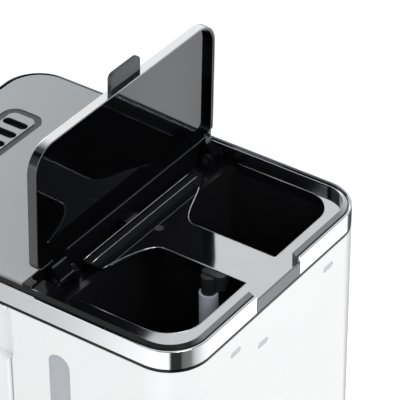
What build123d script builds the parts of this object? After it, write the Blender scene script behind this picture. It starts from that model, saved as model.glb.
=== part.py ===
from build123d import *
import os
from math import cos, radians, sin

os.makedirs("parts", exist_ok=True)

# Main outside sizes, in millimetres. Front is -Y, up is +Z.
HALF_WIDTH = 104.0
HALF_DEPTH = 138.0
RIM_Z = 360.0
CORNER_R = 28.0
WALL = 2.6
CUT = 10.0

# Heights from the table up.
FOOT_H = 4.0
BASE_TOP = 50.0
PLATE_TOP = 52.0
HEAD_BOTTOM = 218.5
SEAM_H = 2.5
BODY_TOP = RIM_Z - 17.0
DECK_BOTTOM = BODY_TOP + 0.1
DECK_TOP = BODY_TOP + SEAM_H

# Rear column and the swinging filter holder in front of it.
HEAD_DEPTH = 143.8
COLUMN_FRONT = HEAD_DEPTH - HALF_DEPTH
HOLDER_REAR = COLUMN_FRONT - 0.8
HOLDER_TOP = BODY_TOP - 0.4
PIVOT_R = 4.0
PIVOT_X = PIVOT_R - HALF_WIDTH
PIVOT_Y = HOLDER_REAR - PIVOT_R
PIN_R = 2.0
RUN_FIT = 0.05

# Chrome rim: band, sloping bead, ledge and bridge.
BAND_T = 1.2
SEAM_INSET = 0.3
BAND_TOP = RIM_Z - 1.0
BEAD_OUT = 1.4
BEAD_IN = 6.5
BEAD_FALL = 2.4
LEDGE_Z = RIM_Z - 5.5
LEDGE_T = 1.6
LEDGE_FRONT = COLUMN_FRONT + 40.2
NOTCH_HALF = 24.0

# Tank opening, with the widths of the ledge round it, and the bridge across it.
LEDGE_W_LEFT = 12.5
LEDGE_W_RIGHT = 19.5
LEDGE_W_REAR = 16.0
OPEN_L = LEDGE_W_LEFT - HALF_WIDTH
OPEN_R = HALF_WIDTH - LEDGE_W_RIGHT
OPEN_REAR = HALF_DEPTH - LEDGE_W_REAR
OPEN_FRONT = COLUMN_FRONT + 30.2
BRIDGE_L = -19.8
BRIDGE_R = 11.4
BRIDGE_X = (BRIDGE_L + BRIDGE_R) / 2
BRIDGE_DROP = 7.5
BRIDGE_FLARE = 28.3
BRIDGE_SCREW_Y = COLUMN_FRONT + 38.2

# Hinge line of the lid: two arms, four ears and the rail between them.
ARM_NEAR = (HALF_WIDTH - 40.0, HALF_WIDTH - 26.0)
ARM_FAR = (10.0 - HALF_WIDTH, 16.5 - HALF_WIDTH)
LID_AXIS_Y = COLUMN_FRONT + 18.7
LID_AXIS_Z = RIM_Z - 7.0
KNUCKLE_R = 4.4
RAIL_L = ARM_FAR[1] + 17.5
RAIL_R = ARM_NEAR[0] - 13.0
RAIL_FRONT = LID_AXIS_Y - 0.5
RAIL_W = 7.6
RAIL_REAR = RAIL_FRONT + RAIL_W

# Tank body.
TANK_WALL = 2.2
TANK_FLOOR = 205.0
TANK_LIP = 1.2
PIPE_R = 2.6
PIPE_Z = DECK_TOP + 3.9
TANK_DRAFT = 5.5
RISER_X = BRIDGE_R + 5.6
RISER_Y = OPEN_REAR - 25.0
HOSE_TOP = RIM_Z - 20.0
HOSE_R = 6.2
HOSE_BORE = 4.95
SUPPLY_X = -30.0
SUPPLY_Y = OPEN_FRONT + 34.0

# Hinged lid, drawn closed and then turned open.
LID_HALF = HALF_WIDTH - 10.0
LID_T = 6.5
LID_TOP = RIM_Z + 1.4
LID_BOTTOM = LID_TOP - LID_T
LID_FRONT = COLUMN_FRONT + 35.7
LID_REAR = HALF_DEPTH - 7.5
LID_CORNER = 18.0
LID_OPEN = 88.5
SHELL_T = 1.2
SHELL_WALL = 1.0
LINER_T = 0.8
LINER_WALL = 1.2
ROOT = 3.0
TAB_HALF = 15.0
TAB_REACH = 13.0

# Silver top panel with steam vents.
PANEL_HALF = HALF_WIDTH - 5.5
PANEL_FRONT = 6.0 - HALF_DEPTH
PANEL_REAR = COLUMN_FRONT + 9.2
PANEL_TOP = RIM_Z + 1.5
VENT_COUNT = 7
VENT_PITCH = 12.4
VENT_W = 7.0
VENT_L = 19.5
VENT_Y = PANEL_FRONT + 34.0
GROOVE_DEEP = 0.9

# Carafe and brewing centre line.
BREW_Y = 76.0 - HALF_DEPTH
PLATE_R = 62.6
CARAFE_Z = PLATE_TOP + 0.3
GLASS_T = 2.2
BELLY_R = 66.0
BELLY_Z = 98.0
NECK_R = 45.0
NECK_Z = 166.0
GLASS_TOP = NECK_Z + 23.0
STRAP_T = 1.2
STRAP_Z = NECK_Z + 3.0
STRAP_H = 10.0
COLLAR_Z = STRAP_Z + STRAP_H + 1.0
COLLAR_TOP = GLASS_TOP + 5.0
COLLAR_R = NECK_R + 4.0
BASKET_TOP = 333.0
BASKET_R = 56.0
BASKET_FLOOR = 236.0

# Water level window in the right side.
WINDOW_H = 108.0
WINDOW_W = 16.5

# Hole for the cord gland in the rear wall of the base.
GLAND_X = -62.0
GLAND_Z = 24.0

# Controls on the front of the base.
PANEL_Z = 28.0
FASCIA_HALF = 60.0
FASCIA_H = 34.0
BUTTON_R = 4.5
POWER_R = 7.0
BUTTON_GAP = 0.3
HEATER_Z = 40.0
HOSE_FRONT = BREW_Y + 62.5


def outline(x0, x1, y0, y1, front_r, right_r, left_r):
    """Rectangle in plan with rounded front, rear right and rear left corners."""
    shape = Pos((x0 + x1) / 2, (y0 + y1) / 2) * Rectangle(x1 - x0, y1 - y0)
    corners = [((x0, y0), front_r), ((x1, y0), front_r), ((x1, y1), right_r), ((x0, y1), left_r)]
    for spot, radius in corners:
        if radius > 0:
            vertex = shape.vertices().sort_by_distance((spot[0], spot[1], 0))[0]
            shape = fillet(vertex, radius)
    return shape


def slab(x0, x1, y0, y1, z0, z1, front_r=0.0, right_r=0.0, left_r=0.0):
    """Upright block with rounded corners in plan."""
    return Pos(0, 0, z0) * extrude(outline(x0, x1, y0, y1, front_r, right_r, left_r), z1 - z0)


def body_slab(inset, z0, z1):
    """Block with the body's outline, drawn in by an inset."""
    half_w = HALF_WIDTH - inset
    half_d = HALF_DEPTH - inset
    corner = CORNER_R - inset
    return slab(-half_w, half_w, -half_d, half_d, z0, z1, corner, corner, corner)


def post(x, y, z0, z1, radius):
    """Upright cylinder between two heights."""
    return Pos(x, y, (z0 + z1) / 2) * Cylinder(radius, z1 - z0)


def rod(x0, x1, y, z, radius):
    """Cylinder along X."""
    return Pos((x0 + x1) / 2, y, z) * Rot(0, 90, 0) * Cylinder(radius, x1 - x0)


def plug(x, z, y0, y1, radius):
    """Cylinder along Y."""
    return Pos(x, (y0 + y1) / 2, z) * Rot(90, 0, 0) * Cylinder(radius, y1 - y0)


def slot_y(x, y, z0, z1, width, length):
    """Upright cutter with round ends, long in Y."""
    return Pos(x, y, z0) * extrude(Rot(0, 0, 90) * SlotOverall(length, width), z1 - z0)


def tube(points, bend, radius, bore):
    """Round hose along a bent line of points."""
    path = FilletPolyline(*points, radius=bend)
    start = Plane(origin=path @ 0, z_dir=path % 0)
    outer = sweep(start * Circle(radius), path=path)
    inner = sweep(start * Circle(bore), path=path)
    return outer - inner


def save(shape, name):
    """Write one node."""
    export_step(shape, f"parts/{name}.step")


# Positions of repeated pieces.
CORNERS = [(1, 1), (1, -1), (-1, 1), (-1, -1)]
FOOT_SPOTS = [((HALF_WIDTH - 24) * sx, (HALF_DEPTH - 28) * sy) for sx, sy in CORNERS]
SCREW_SPOTS = [(FASCIA_HALF * sx, (HALF_DEPTH - 14) * sy) for sx, sy in CORNERS]
BUTTON_SPOTS = {"hour_button": -50.0, "minute_button": -36.0, "timer_button": 30.0}
POWER_X = 48.0


def finger_recess():
    """Rounded scoop shared by the holder and the column, on the right side."""
    profile = Plane.YZ * (Pos(COLUMN_FRONT - 12.3, RIM_Z - 39.2) * RectangleRounded(31, 42, 9))
    return Pos(HALF_WIDTH - 7, 0, 0) * extrude(profile, 12)


def base_housing():
    """White base: hollow tray with an opening for the warming plate."""
    shape = body_slab(0, FOOT_H, BASE_TOP)
    shape = fillet(shape.edges().group_by(Axis.Z)[-1], 1.5)
    shape -= body_slab(WALL, FOOT_H - CUT, BASE_TOP - WALL)
    shape += post(0, BREW_Y, BASE_TOP - WALL, PLATE_TOP - 0.6, PLATE_R + 6.4)
    shape -= post(0, BREW_Y, 0, RIM_Z, PLATE_R + 0.4)
    shape -= slab(-70, 70, COLUMN_FRONT + 6.2, HALF_DEPTH - 22, BASE_TOP - 20, BASE_TOP + 10, 8, 8, 8)
    shape -= slab(-45, 32, COLUMN_FRONT, COLUMN_FRONT + 14.2, BASE_TOP - 20, BASE_TOP + 10)
    fascia_cut = Box(2 * FASCIA_HALF - 4, 12, FASCIA_H - 4)
    shape -= Pos(0, -HALF_DEPTH, PANEL_Z) * fascia_cut
    for x, y in SCREW_SPOTS:
        shape += post(x, y, FOOT_H + 3, BASE_TOP - WALL, 4.5)
        shape -= post(x, y, FOOT_H, BASE_TOP - 14, 1.5)
    shape -= plug(GLAND_X, GLAND_Z, HALF_DEPTH - 6, HALF_DEPTH + 2, 5.2)
    return shape


def base_cover():
    """Bottom plate with air slots and stiffening ribs."""
    shape = body_slab(WALL + 0.2, FOOT_H + 0.4, FOOT_H + 2.8)
    for row in range(9):
        shape -= slot_y(-48 + 12 * row, -20, 0, 10, 4, 60)
    for y in (-70, 30, 80):
        rib = slab(-90, 90, y - 1, y + 1, FOOT_H + 2.8, FOOT_H + 7)
        shape += rib
    for x, y in SCREW_SPOTS:
        shape -= post(x, y, 0, 10, 1.6)
        shape -= post(x, y, 0, FOOT_H + 1.6, 3.8)
    return shape


def base_screws():
    """Four cover screws with cross recesses."""
    group = []
    for x, y in SCREW_SPOTS:
        screw = post(x, y, FOOT_H + 0.6, FOOT_H + 1.6, 3.4)
        screw += post(x, y, FOOT_H + 1.6, BASE_TOP - 16, 1.5)
        screw -= Pos(x, y, FOOT_H + 0.6) * Box(4, 0.9, 1)
        screw -= Pos(x, y, FOOT_H + 0.6) * Box(0.9, 4, 1)
        group.append(screw)
    return Compound(group)


def feet():
    """Four rubber feet with hollow soles."""
    group = []
    for x, y in FOOT_SPOTS:
        foot = post(x, y, 0, FOOT_H + 0.4, 9)
        foot = fillet(foot.edges().group_by(Axis.Z)[0], 1.2)
        foot -= post(x, y, -1, 1.2, 5)
        group.append(foot)
    return Compound(group)


def rear_housing():
    """White rear column with level slot, three shallow marks and hinge lug."""
    inside = HALF_WIDTH - WALL
    rear_in = HALF_DEPTH - WALL
    corner_in = CORNER_R - WALL
    shape = slab(-HALF_WIDTH, HALF_WIDTH, COLUMN_FRONT, HALF_DEPTH, BASE_TOP, BODY_TOP, 3, CORNER_R, CORNER_R)
    front_in = COLUMN_FRONT + WALL
    shape -= slab(-inside, inside, front_in, rear_in, BASE_TOP - CUT, BODY_TOP + CUT, 1, corner_in, corner_in)
    backing = slab(inside - 10, inside + 0.5, front_in - 0.5, front_in + 4, RIM_Z - 64, BODY_TOP)
    shape += backing
    shape -= finger_recess()
    shape -= level_slot(0, 5)
    for x, drop in ((-57, 29), (17, 42), (47, 30)):
        profile = Plane.XZ * (Pos(x, RIM_Z - drop) * SlotOverall(11, 4.5))
        shape -= Pos(0, HALF_DEPTH + 1, 0) * extrude(profile, 1.8)
    lug_z0 = HEAD_BOTTOM - 10
    lug_z1 = HEAD_BOTTOM - 0.5
    shape += post(PIVOT_X, PIVOT_Y, lug_z0, lug_z1, PIVOT_R)
    shape += slab(PIVOT_X - PIVOT_R, PIVOT_X + PIVOT_R, PIVOT_Y, COLUMN_FRONT + 1, lug_z0, lug_z1)
    shape -= post(PIVOT_X, PIVOT_Y, lug_z0 + 2, lug_z1 + 1, PIN_R + RUN_FIT)
    return shape


def level_slot(inset, depth):
    """Upright cutter for the water level window in the right side."""
    return Pos(HALF_WIDTH - depth, 0, 0) * extrude(window_profile(-inset), depth + 2)


def window_profile(grow):
    """Upright round-ended outline of the level window, grown all round."""
    centre = Pos(COLUMN_FRONT + 39.2, RIM_Z - 37.5 - WINDOW_H / 2)
    return Plane.YZ * (centre * Rot(0, 0, 90) * SlotOverall(WINDOW_H + 2 * grow, WINDOW_W + 2 * grow))


def level_window():
    """Grey clear strip, a little below the outside face."""
    face = level_slot(0.2, 5) - slab(HALF_WIDTH - 1.0, HALF_WIDTH + CUT, 0, HALF_DEPTH, 0, RIM_Z)
    lip = Pos(HALF_WIDTH - WALL - 2, 0, 0) * extrude(window_profile(2.5), 1.9)
    return face + lip


def cord_gland():
    """Rubber ring in the rear wall of the base."""
    shape = plug(GLAND_X, GLAND_Z, HALF_DEPTH - 5, HALF_DEPTH + 1.4, 5.0)
    shape += plug(GLAND_X, GLAND_Z, HALF_DEPTH + 0.1, HALF_DEPTH + 1.4, 7.0)
    shape += plug(GLAND_X, GLAND_Z, HALF_DEPTH - 5, HALF_DEPTH - WALL - 0.1, 6.6)
    shape -= plug(GLAND_X, GLAND_Z, HALF_DEPTH - 9, HALF_DEPTH + 5, 3.4)
    return shape


def lid_bracket(x0, x1):
    """Upright ear that carries a lid pin."""
    low = DECK_TOP - 1
    head = rod(x0, x1, LID_AXIS_Y, LID_AXIS_Z, KNUCKLE_R)
    return head + slab(x0, x1, LID_AXIS_Y - KNUCKLE_R, LID_AXIS_Y + KNUCKLE_R, low, LID_AXIS_Z)


def top_deck():
    """Black deck: the dark seam, the roof over the filter and the hinge trough."""
    shape = body_slab(SEAM_INSET, DECK_BOTTOM, DECK_TOP)
    shape += body_slab(BEAD_OUT, DECK_TOP, LEDGE_Z - LEDGE_T - 0.2) - body_slab(BEAD_OUT + 2.2, DECK_TOP - 1, RIM_Z)
    grow = TANK_WALL + 0.5
    shape -= slab(OPEN_L - grow, OPEN_R + grow, OPEN_FRONT - grow, OPEN_REAR + grow, 0, RIM_Z, 8, 25, 20)
    shape -= post(BRIDGE_X, BREW_Y, 0, RIM_Z, 22)
    for side in (-1, 1):
        for step in range(5):
            shape -= slot_y(side * (34 + 10 * step), VENT_Y - 2, 0, RIM_Z, 4, 20)
    shape += pipe_tunnel()
    shape += hinge_cheek()
    boss = post(PIVOT_X, PIVOT_Y, DECK_TOP - 1, DECK_TOP + 4, PIVOT_R)
    shape += boss & body_slab(BEAD_OUT, DECK_TOP - 1, RIM_Z)
    shape -= post(PIVOT_X, PIVOT_Y, 0, DECK_TOP + 3, PIN_R + RUN_FIT)
    for x0, x1 in ear_spans():
        shape += lid_bracket(x0, x1)
        shape -= rod(x0 - 1, x1 + 1, LID_AXIS_Y, LID_AXIS_Z, PIN_R)
    return shape


def pipe_tunnel():
    """Cover over the brew pipe where it crosses the hinge trough."""
    wide = PIPE_R + 3.4
    shape = slab(BRIDGE_X - wide, BRIDGE_X + wide, PANEL_REAR + 0.5, RAIL_FRONT - 0.2, DECK_TOP - 0.5, RIM_Z - 6.5)
    return shape - pipe_way(PANEL_REAR - 1, RAIL_FRONT + 1)


def pipe_way(y0, y1):
    """Cutter for the brew pipe's way through an upright wall."""
    wide = PIPE_R + 1.0
    return slab(BRIDGE_X - wide, BRIDGE_X + wide, y0, y1, DECK_TOP, PIPE_Z + PIPE_R + 0.4)


def hinge_cheek():
    """Block that closes the near end of the hinge trough."""
    x0 = ARM_NEAR[1] + 5
    x1 = HALF_WIDTH - BEAD_IN - 0.2
    y0 = PANEL_REAR + 2
    top = RIM_Z - 3.5
    shape = slab(x0, x1, y0, OPEN_FRONT - 4.4, DECK_TOP - 0.5, top)
    return shape + slab(x0, x1, y0, OPEN_FRONT - 1, DECK_TOP + TANK_LIP + 0.3, top)


def ear_spans():
    """Where the four ears stand along the lid axis."""
    gap = 0.4
    near0, near1 = ARM_NEAR
    far0, far1 = ARM_FAR
    outer = BEAD_IN + 0.2 - HALF_WIDTH
    return [(near0 - 4, near0 - gap), (near1 + gap, near1 + 4), (far1 + gap, far1 + 4), (outer, far0 - gap)]


def chrome_band():
    """Thin polished strip round the top, cut at the rear notch."""
    shape = body_slab(0, DECK_TOP + 0.2, BAND_TOP)
    shape = fillet(shape.edges().group_by(Axis.Z)[-1], 0.5)
    shape -= body_slab(BAND_T, 0, RIM_Z)
    shape -= slab(-NOTCH_HALF, NOTCH_HALF, HALF_DEPTH - 6, HALF_DEPTH + 6, 0, RIM_Z + CUT)
    return shape


def bridge_plan():
    """Bridge in plan, flaring towards the hinge rail."""
    rear = OPEN_REAR + 1.0
    foot = RAIL_REAR + 0.1
    neck = foot + BRIDGE_FLARE
    right_tip = (RAIL_R - 1, foot + 8.3)
    left_tip = (RAIL_L + 14, foot + 6.8)
    with BuildSketch() as plan:
        with BuildLine():
            Line((BRIDGE_R, rear), (BRIDGE_R, neck))
            Spline((BRIDGE_R, neck), (BRIDGE_R + 8.6, foot + 17.3), right_tip, tangents=((0, -1), (1, -0.25)))
            Line(right_tip, (RAIL_R, foot))
            Line((RAIL_R, foot), (RAIL_L, foot))
            Line((RAIL_L, foot), left_tip)
            Spline(left_tip, (BRIDGE_L - 16.2, foot + 16.8), (BRIDGE_L, neck), tangents=((1, 0.4), (0, 1)))
            Line((BRIDGE_L, neck), (BRIDGE_L, rear))
            Line((BRIDGE_L, rear), (BRIDGE_R, rear))
        make_face()
    return plan.sketch


def bead_ring():
    """Raised rim whose top falls outwards, lofted between two outlines."""
    half_w = HALF_WIDTH - BEAD_OUT
    half_d = HALF_DEPTH - BEAD_OUT
    corner = CORNER_R - BEAD_OUT
    run = BEAD_IN - BEAD_OUT - 0.4
    shoulder = RIM_Z - BEAD_FALL
    low = Pos(0, 0, shoulder) * outline(-half_w, half_w, -half_d, half_d, corner, corner, corner)
    top_w = half_w - run
    top_d = half_d - run
    top_r = corner - run
    high = Pos(0, 0, RIM_Z) * outline(-top_w, top_w, -top_d, top_d, top_r, top_r, top_r)
    shape = loft([low, high], ruled=True)
    shape += body_slab(BEAD_OUT, LEDGE_Z - LEDGE_T, shoulder)
    inner = HALF_WIDTH - BEAD_IN
    inner_r = CORNER_R - BEAD_IN
    inner_d = HALF_DEPTH - BEAD_IN
    shape -= slab(-inner, inner, -inner_d, inner_d + 0.5, 0, RIM_Z + CUT, inner_r, inner_r, inner_r)
    return shape


def rim_collar():
    """Chromed moulding: bead, ledge, and bridge with its flare."""
    under = LEDGE_Z - LEDGE_T
    shape = bead_ring()
    half_w = HALF_WIDTH - BEAD_IN + 1
    rear = HALF_DEPTH - BEAD_IN + 1
    ledge = slab(-half_w, half_w, LEDGE_FRONT, rear, under, LEDGE_Z, 0, CORNER_R - 6, CORNER_R - 6)
    ledge -= slab(OPEN_L, OPEN_R, 0, OPEN_REAR, 0, RIM_Z, 0, 25, 20)
    shape += ledge
    low = DECK_TOP + TANK_LIP + 0.3
    skirt = slab(OPEN_L - 1.6, OPEN_R + 1.6, LEDGE_FRONT, OPEN_REAR + 1.6, low, under + 0.5, 0, 26, 21)
    skirt -= slab(OPEN_L, OPEN_R, 0, OPEN_REAR, 0, RIM_Z, 0, 25, 20)
    shape += skirt
    shape -= slab(-NOTCH_HALF, NOTCH_HALF, HALF_DEPTH - 8, HALF_DEPTH + 5, LEDGE_Z, RIM_Z + CUT)
    shape += slab(-NOTCH_HALF + 0.2, NOTCH_HALF - 0.2, rear - 2, HALF_DEPTH - BEAD_OUT, under, LEDGE_Z)
    shape += Pos(0, 0, under) * extrude(bridge_plan(), LEDGE_T)
    neck = RAIL_REAR + 0.1 + BRIDGE_FLARE
    for x in (BRIDGE_L, BRIDGE_R - LEDGE_T):
        shape += slab(x, x + LEDGE_T, neck, OPEN_REAR + 1, LEDGE_Z - BRIDGE_DROP, LEDGE_Z - 0.5)
    shape -= rod(BRIDGE_R - 4, BRIDGE_R + 2, RISER_Y, PIPE_Z, PIPE_R + 1.0)
    shape -= post(BRIDGE_X, BRIDGE_SCREW_Y, LEDGE_Z - 0.8, LEDGE_Z + 1, 3.2)
    shape -= post(BRIDGE_X, BRIDGE_SCREW_Y, 0, LEDGE_Z, 1.4)
    return shape


def hinge_rail():
    """Glossy black rail with two rounded edges, between trough and bridge."""
    shape = slab(RAIL_L, RAIL_R, RAIL_FRONT, RAIL_REAR, DECK_TOP + 0.1, LEDGE_Z)
    shape -= slab(RAIL_L - 1, RAIL_R + 1, RAIL_FRONT + 1.4, RAIL_REAR - 1.4, LEDGE_Z - 0.8, LEDGE_Z + 1)
    lips = shape.edges().filter_by(Axis.X).group_by(Axis.Z)[-1]
    shape = fillet(lips, 0.5)
    return shape - pipe_way(RAIL_FRONT - 1, RAIL_REAR + 1)


def bridge_screw():
    """Small screw in the flared end of the bridge."""
    shape = post(BRIDGE_X, BRIDGE_SCREW_Y, LEDGE_Z - 0.8, LEDGE_Z - 0.1, 2.9)
    shape += post(BRIDGE_X, BRIDGE_SCREW_Y, LEDGE_Z - 2.4, LEDGE_Z - 0.8, 1.4)
    for wide, long in ((3.4, 0.8), (0.8, 3.4)):
        shape -= Pos(BRIDGE_X, BRIDGE_SCREW_Y, LEDGE_Z) * Box(wide, long, 0.9)
    return shape


def notch_plate():
    """Matte plate that fills the band under the rear notch."""
    x0 = -NOTCH_HALF + 0.3
    x1 = NOTCH_HALF - 1.0
    return slab(x0, x1, HALF_DEPTH - BAND_T, HALF_DEPTH, DECK_TOP + 0.2, LEDGE_Z)


def top_panel():
    """Silver panel with seven vents inside a shallow groove."""
    z0 = RIM_Z + 0.1
    shape = slab(-PANEL_HALF, PANEL_HALF, PANEL_FRONT, PANEL_REAR + 6, z0, PANEL_TOP, 25, 2, 2)
    horn = PANEL_HALF - 7.5
    shape -= slab(-PANEL_HALF - 5, horn, PANEL_REAR, PANEL_REAR + 10, 0, RIM_Z + CUT, 3, 0, 0)
    shape = fillet(shape.edges().group_by(Axis.Z)[-1], 0.6)
    skirt_h = HALF_WIDTH - BEAD_IN - 0.4
    skirt = slab(-skirt_h, skirt_h, -HALF_DEPTH + BEAD_IN + 0.4, PANEL_REAR - 0.5, DECK_TOP, z0 + 0.2, 21, 2, 2)
    skirt -= slab(-skirt_h + 1.8, skirt_h - 1.8, -HALF_DEPTH + BEAD_IN + 2.2, PANEL_REAR - 2.3, 0, z0, 19, 1, 1)
    skirt -= pipe_way(PANEL_REAR - 15, PANEL_REAR + 2)
    shape += skirt
    shape -= post(PIVOT_X, PIVOT_Y, 0, DECK_TOP + 5, PIVOT_R + 0.4)
    groove_w = VENT_COUNT * VENT_PITCH + 19.2
    groove_d = VENT_L + 11.5
    groove = RectangleRounded(groove_w, groove_d, 10) - RectangleRounded(groove_w - 10, groove_d - 10, 5.5)
    shape -= Pos(0, VENT_Y, PANEL_TOP - GROOVE_DEEP) * extrude(groove, 2)
    for index in range(VENT_COUNT):
        x = (index - (VENT_COUNT - 1) / 2) * VENT_PITCH
        shape -= slot_y(x, VENT_Y, RIM_Z - CUT, RIM_Z + CUT, VENT_W, VENT_L)
    return shape


def tank_loft(grow, z0, z1):
    """Tapered tub between two outlines, grown outwards by the wall."""
    g = grow
    t = grow - TANK_DRAFT
    low = outline(OPEN_L - t, OPEN_R + t, OPEN_FRONT + 5 - g, OPEN_REAR + t, 6 + g, 20 + g, 16 + g)
    high = outline(OPEN_L - g, OPEN_R + g, OPEN_FRONT - g, OPEN_REAR + g, 6 + g, 24 + g, 19 + g)
    return loft([Pos(0, 0, z0) * low, Pos(0, 0, z1) * high], ruled=True)


def water_tank():
    """Black tub in two compartments, with hose boss and outlet."""
    top = DECK_TOP
    outer = tank_loft(TANK_WALL, TANK_FLOOR, top)
    lip = slab(OPEN_L - 5.4, OPEN_R + 5.4, OPEN_FRONT - 4, OPEN_REAR + 5.4, top, top + TANK_LIP, 8, 25, 22)
    inner = tank_loft(0, TANK_FLOOR + TANK_WALL, top)
    mouth = slab(OPEN_L, OPEN_R, OPEN_FRONT, OPEN_REAR, top, RIM_Z, 6, 24, 19)
    shape = outer + lip - inner - mouth
    divider = slab(BRIDGE_X - 1.1, BRIDGE_X + 1.1, OPEN_FRONT - 1, OPEN_REAR + 1, TANK_FLOOR + 1, RIM_Z - 20)
    divider -= slab(BRIDGE_X - 5, BRIDGE_X + 5, SUPPLY_Y, SUPPLY_Y + 18, TANK_FLOOR - 1, TANK_FLOOR + 12)
    shape += divider & tank_loft(TANK_WALL / 2, TANK_FLOOR, top)
    shape += post(RISER_X, RISER_Y, TANK_FLOOR - 10, TANK_FLOOR + 18, HOSE_R + 2.2)
    shape -= post(RISER_X, RISER_Y, 0, RIM_Z, HOSE_R)
    shape += post(SUPPLY_X, SUPPLY_Y, TANK_FLOOR - 16, TANK_FLOOR + 1, HOSE_BORE - 0.05)
    shape -= post(SUPPLY_X, SUPPLY_Y, 0, TANK_FLOOR + 5, HOSE_BORE - 1.2)
    return shape


def check_valve():
    """Soft duckbill in the tank outlet."""
    r = HOSE_BORE - 1.3
    z1 = TANK_FLOOR - 2
    shape = post(SUPPLY_X, SUPPLY_Y, z1 - 3, z1, r)
    tip = Pos(SUPPLY_X, SUPPLY_Y, z1 - 8) * Rectangle(2 * r - 2, 0.8)
    head = Pos(SUPPLY_X, SUPPLY_Y, z1 - 3) * Rectangle(2 * r - 2, 4)
    return shape + loft([tip, head], ruled=True)


def cold_hose():
    """Hose from the tank outlet down to the heater."""
    points = [(SUPPLY_X, SUPPLY_Y, TANK_FLOOR - 4), (SUPPLY_X, SUPPLY_Y, HEATER_Z), (SUPPLY_X, HOSE_FRONT, HEATER_Z)]
    return tube(points, 25, HOSE_R, HOSE_BORE)


def riser_hose():
    """Hose from the heater up through the tank to the bridge."""
    points = [(RISER_X, HOSE_FRONT, HEATER_Z), (RISER_X, RISER_Y, HEATER_Z), (RISER_X, RISER_Y, HOSE_TOP)]
    return tube(points, 25, HOSE_R, HOSE_BORE)


def outlet_elbow():
    """Pale elbow: a block against the bridge's side wall, with a spigot in the hose top."""
    floor = HOSE_TOP + 3
    neck_r = PIPE_R + 0.8
    shape = slab(BRIDGE_R + 0.2, RISER_X, RISER_Y - 6, RISER_Y + 10, floor, LEDGE_Z - 0.7, 1, 4, 0)
    shape += post(RISER_X, RISER_Y, HOSE_TOP - 7, PIPE_Z + neck_r, HOSE_BORE - 0.05)
    shape += rod(BRIDGE_X + 6.2, RISER_X, RISER_Y, PIPE_Z, neck_r)
    shape -= post(RISER_X, RISER_Y, HOSE_TOP - 10, PIPE_Z, 2.2)
    shape -= rod(BRIDGE_X + 4, BRIDGE_X + 9.8, RISER_Y, PIPE_Z, PIPE_R)
    shape -= rod(BRIDGE_X + 4, RISER_X, RISER_Y, PIPE_Z, 1.7)
    return shape


def brew_pipe():
    """Narrow pipe inside the bridge to the spray head."""
    points = [(BRIDGE_X + 9, RISER_Y, PIPE_Z), (BRIDGE_X, RISER_Y, PIPE_Z), (BRIDGE_X, BREW_Y, PIPE_Z)]
    return tube(points, 6, PIPE_R, 1.7)


def spray_head():
    """Round spray plate in the roof, with a ring of holes and a pipe socket."""
    shape = post(BRIDGE_X, BREW_Y, DECK_BOTTOM, DECK_TOP + 0.2, 21.6)
    shape += post(BRIDGE_X, BREW_Y, DECK_TOP + 0.1, DECK_TOP + 1.0, 25)
    shape += post(BRIDGE_X, BREW_Y, DECK_TOP, PIPE_Z + PIPE_R + 1, 5)
    shape -= post(BRIDGE_X, BREW_Y, DECK_BOTTOM + 1.2, DECK_TOP, 19)
    shape -= post(BRIDGE_X, BREW_Y, DECK_TOP - 2, PIPE_Z, 1.7)
    shape -= plug(BRIDGE_X, PIPE_Z, BREW_Y, BREW_Y + 10, PIPE_R)
    for index in range(14):
        angle = radians(index * 360 / 14)
        x = BRIDGE_X + 14 * cos(angle)
        y = BREW_Y + 14 * sin(angle)
        shape -= post(x, y, 0, DECK_TOP, 1.1)
    return shape


def opened(shape):
    """Turn a piece of the lid from closed to the open rest pose."""
    hinge = Axis((0, LID_AXIS_Y, LID_AXIS_Z), (1, 0, 0))
    return shape.rotate(hinge, LID_OPEN)


def lid_slab(inset, z0, z1):
    """Block with the lid's outline, drawn in by an inset."""
    half = LID_HALF - inset
    corner = LID_CORNER - inset
    return slab(-half, half, LID_FRONT + inset, LID_REAR - inset, z0, z1, 6 - inset, corner, corner)


def lid_shell():
    """Silver outer cover of the lid: a thin tray with its rim turned down."""
    shape = lid_slab(0, LID_BOTTOM, LID_TOP)
    shape = fillet(shape.edges().group_by(Axis.Z)[-1], 0.9)
    shape -= lid_slab(SHELL_WALL, LID_BOTTOM - 1, LID_TOP - SHELL_T)
    for x0, x1 in (ARM_NEAR, ARM_FAR):
        shape -= slab(x0 - 0.3, x1 + 0.3, LID_FRONT - 1, LID_FRONT + ROOT + 0.3, LID_BOTTOM - 1, LID_TOP - SHELL_T)
    return opened(shape)


def lid_liner():
    """Glossy black tray inside the cover, with two goose-neck arms at its front wall."""
    outer = SHELL_WALL + 0.1
    top = LID_TOP - SHELL_T - 0.1
    shape = lid_slab(outer, LID_BOTTOM + 0.3, top)
    shape -= lid_slab(outer + LINER_WALL, LID_BOTTOM - 1, top - LINER_T)
    for x0, x1 in (ARM_NEAR, ARM_FAR):
        shape += lid_arm(x0, x1, top)
        shape -= rod(x0 - 1, x1 + 1, LID_AXIS_Y, LID_AXIS_Z, PIN_R + RUN_FIT)
    return opened(shape)


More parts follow.
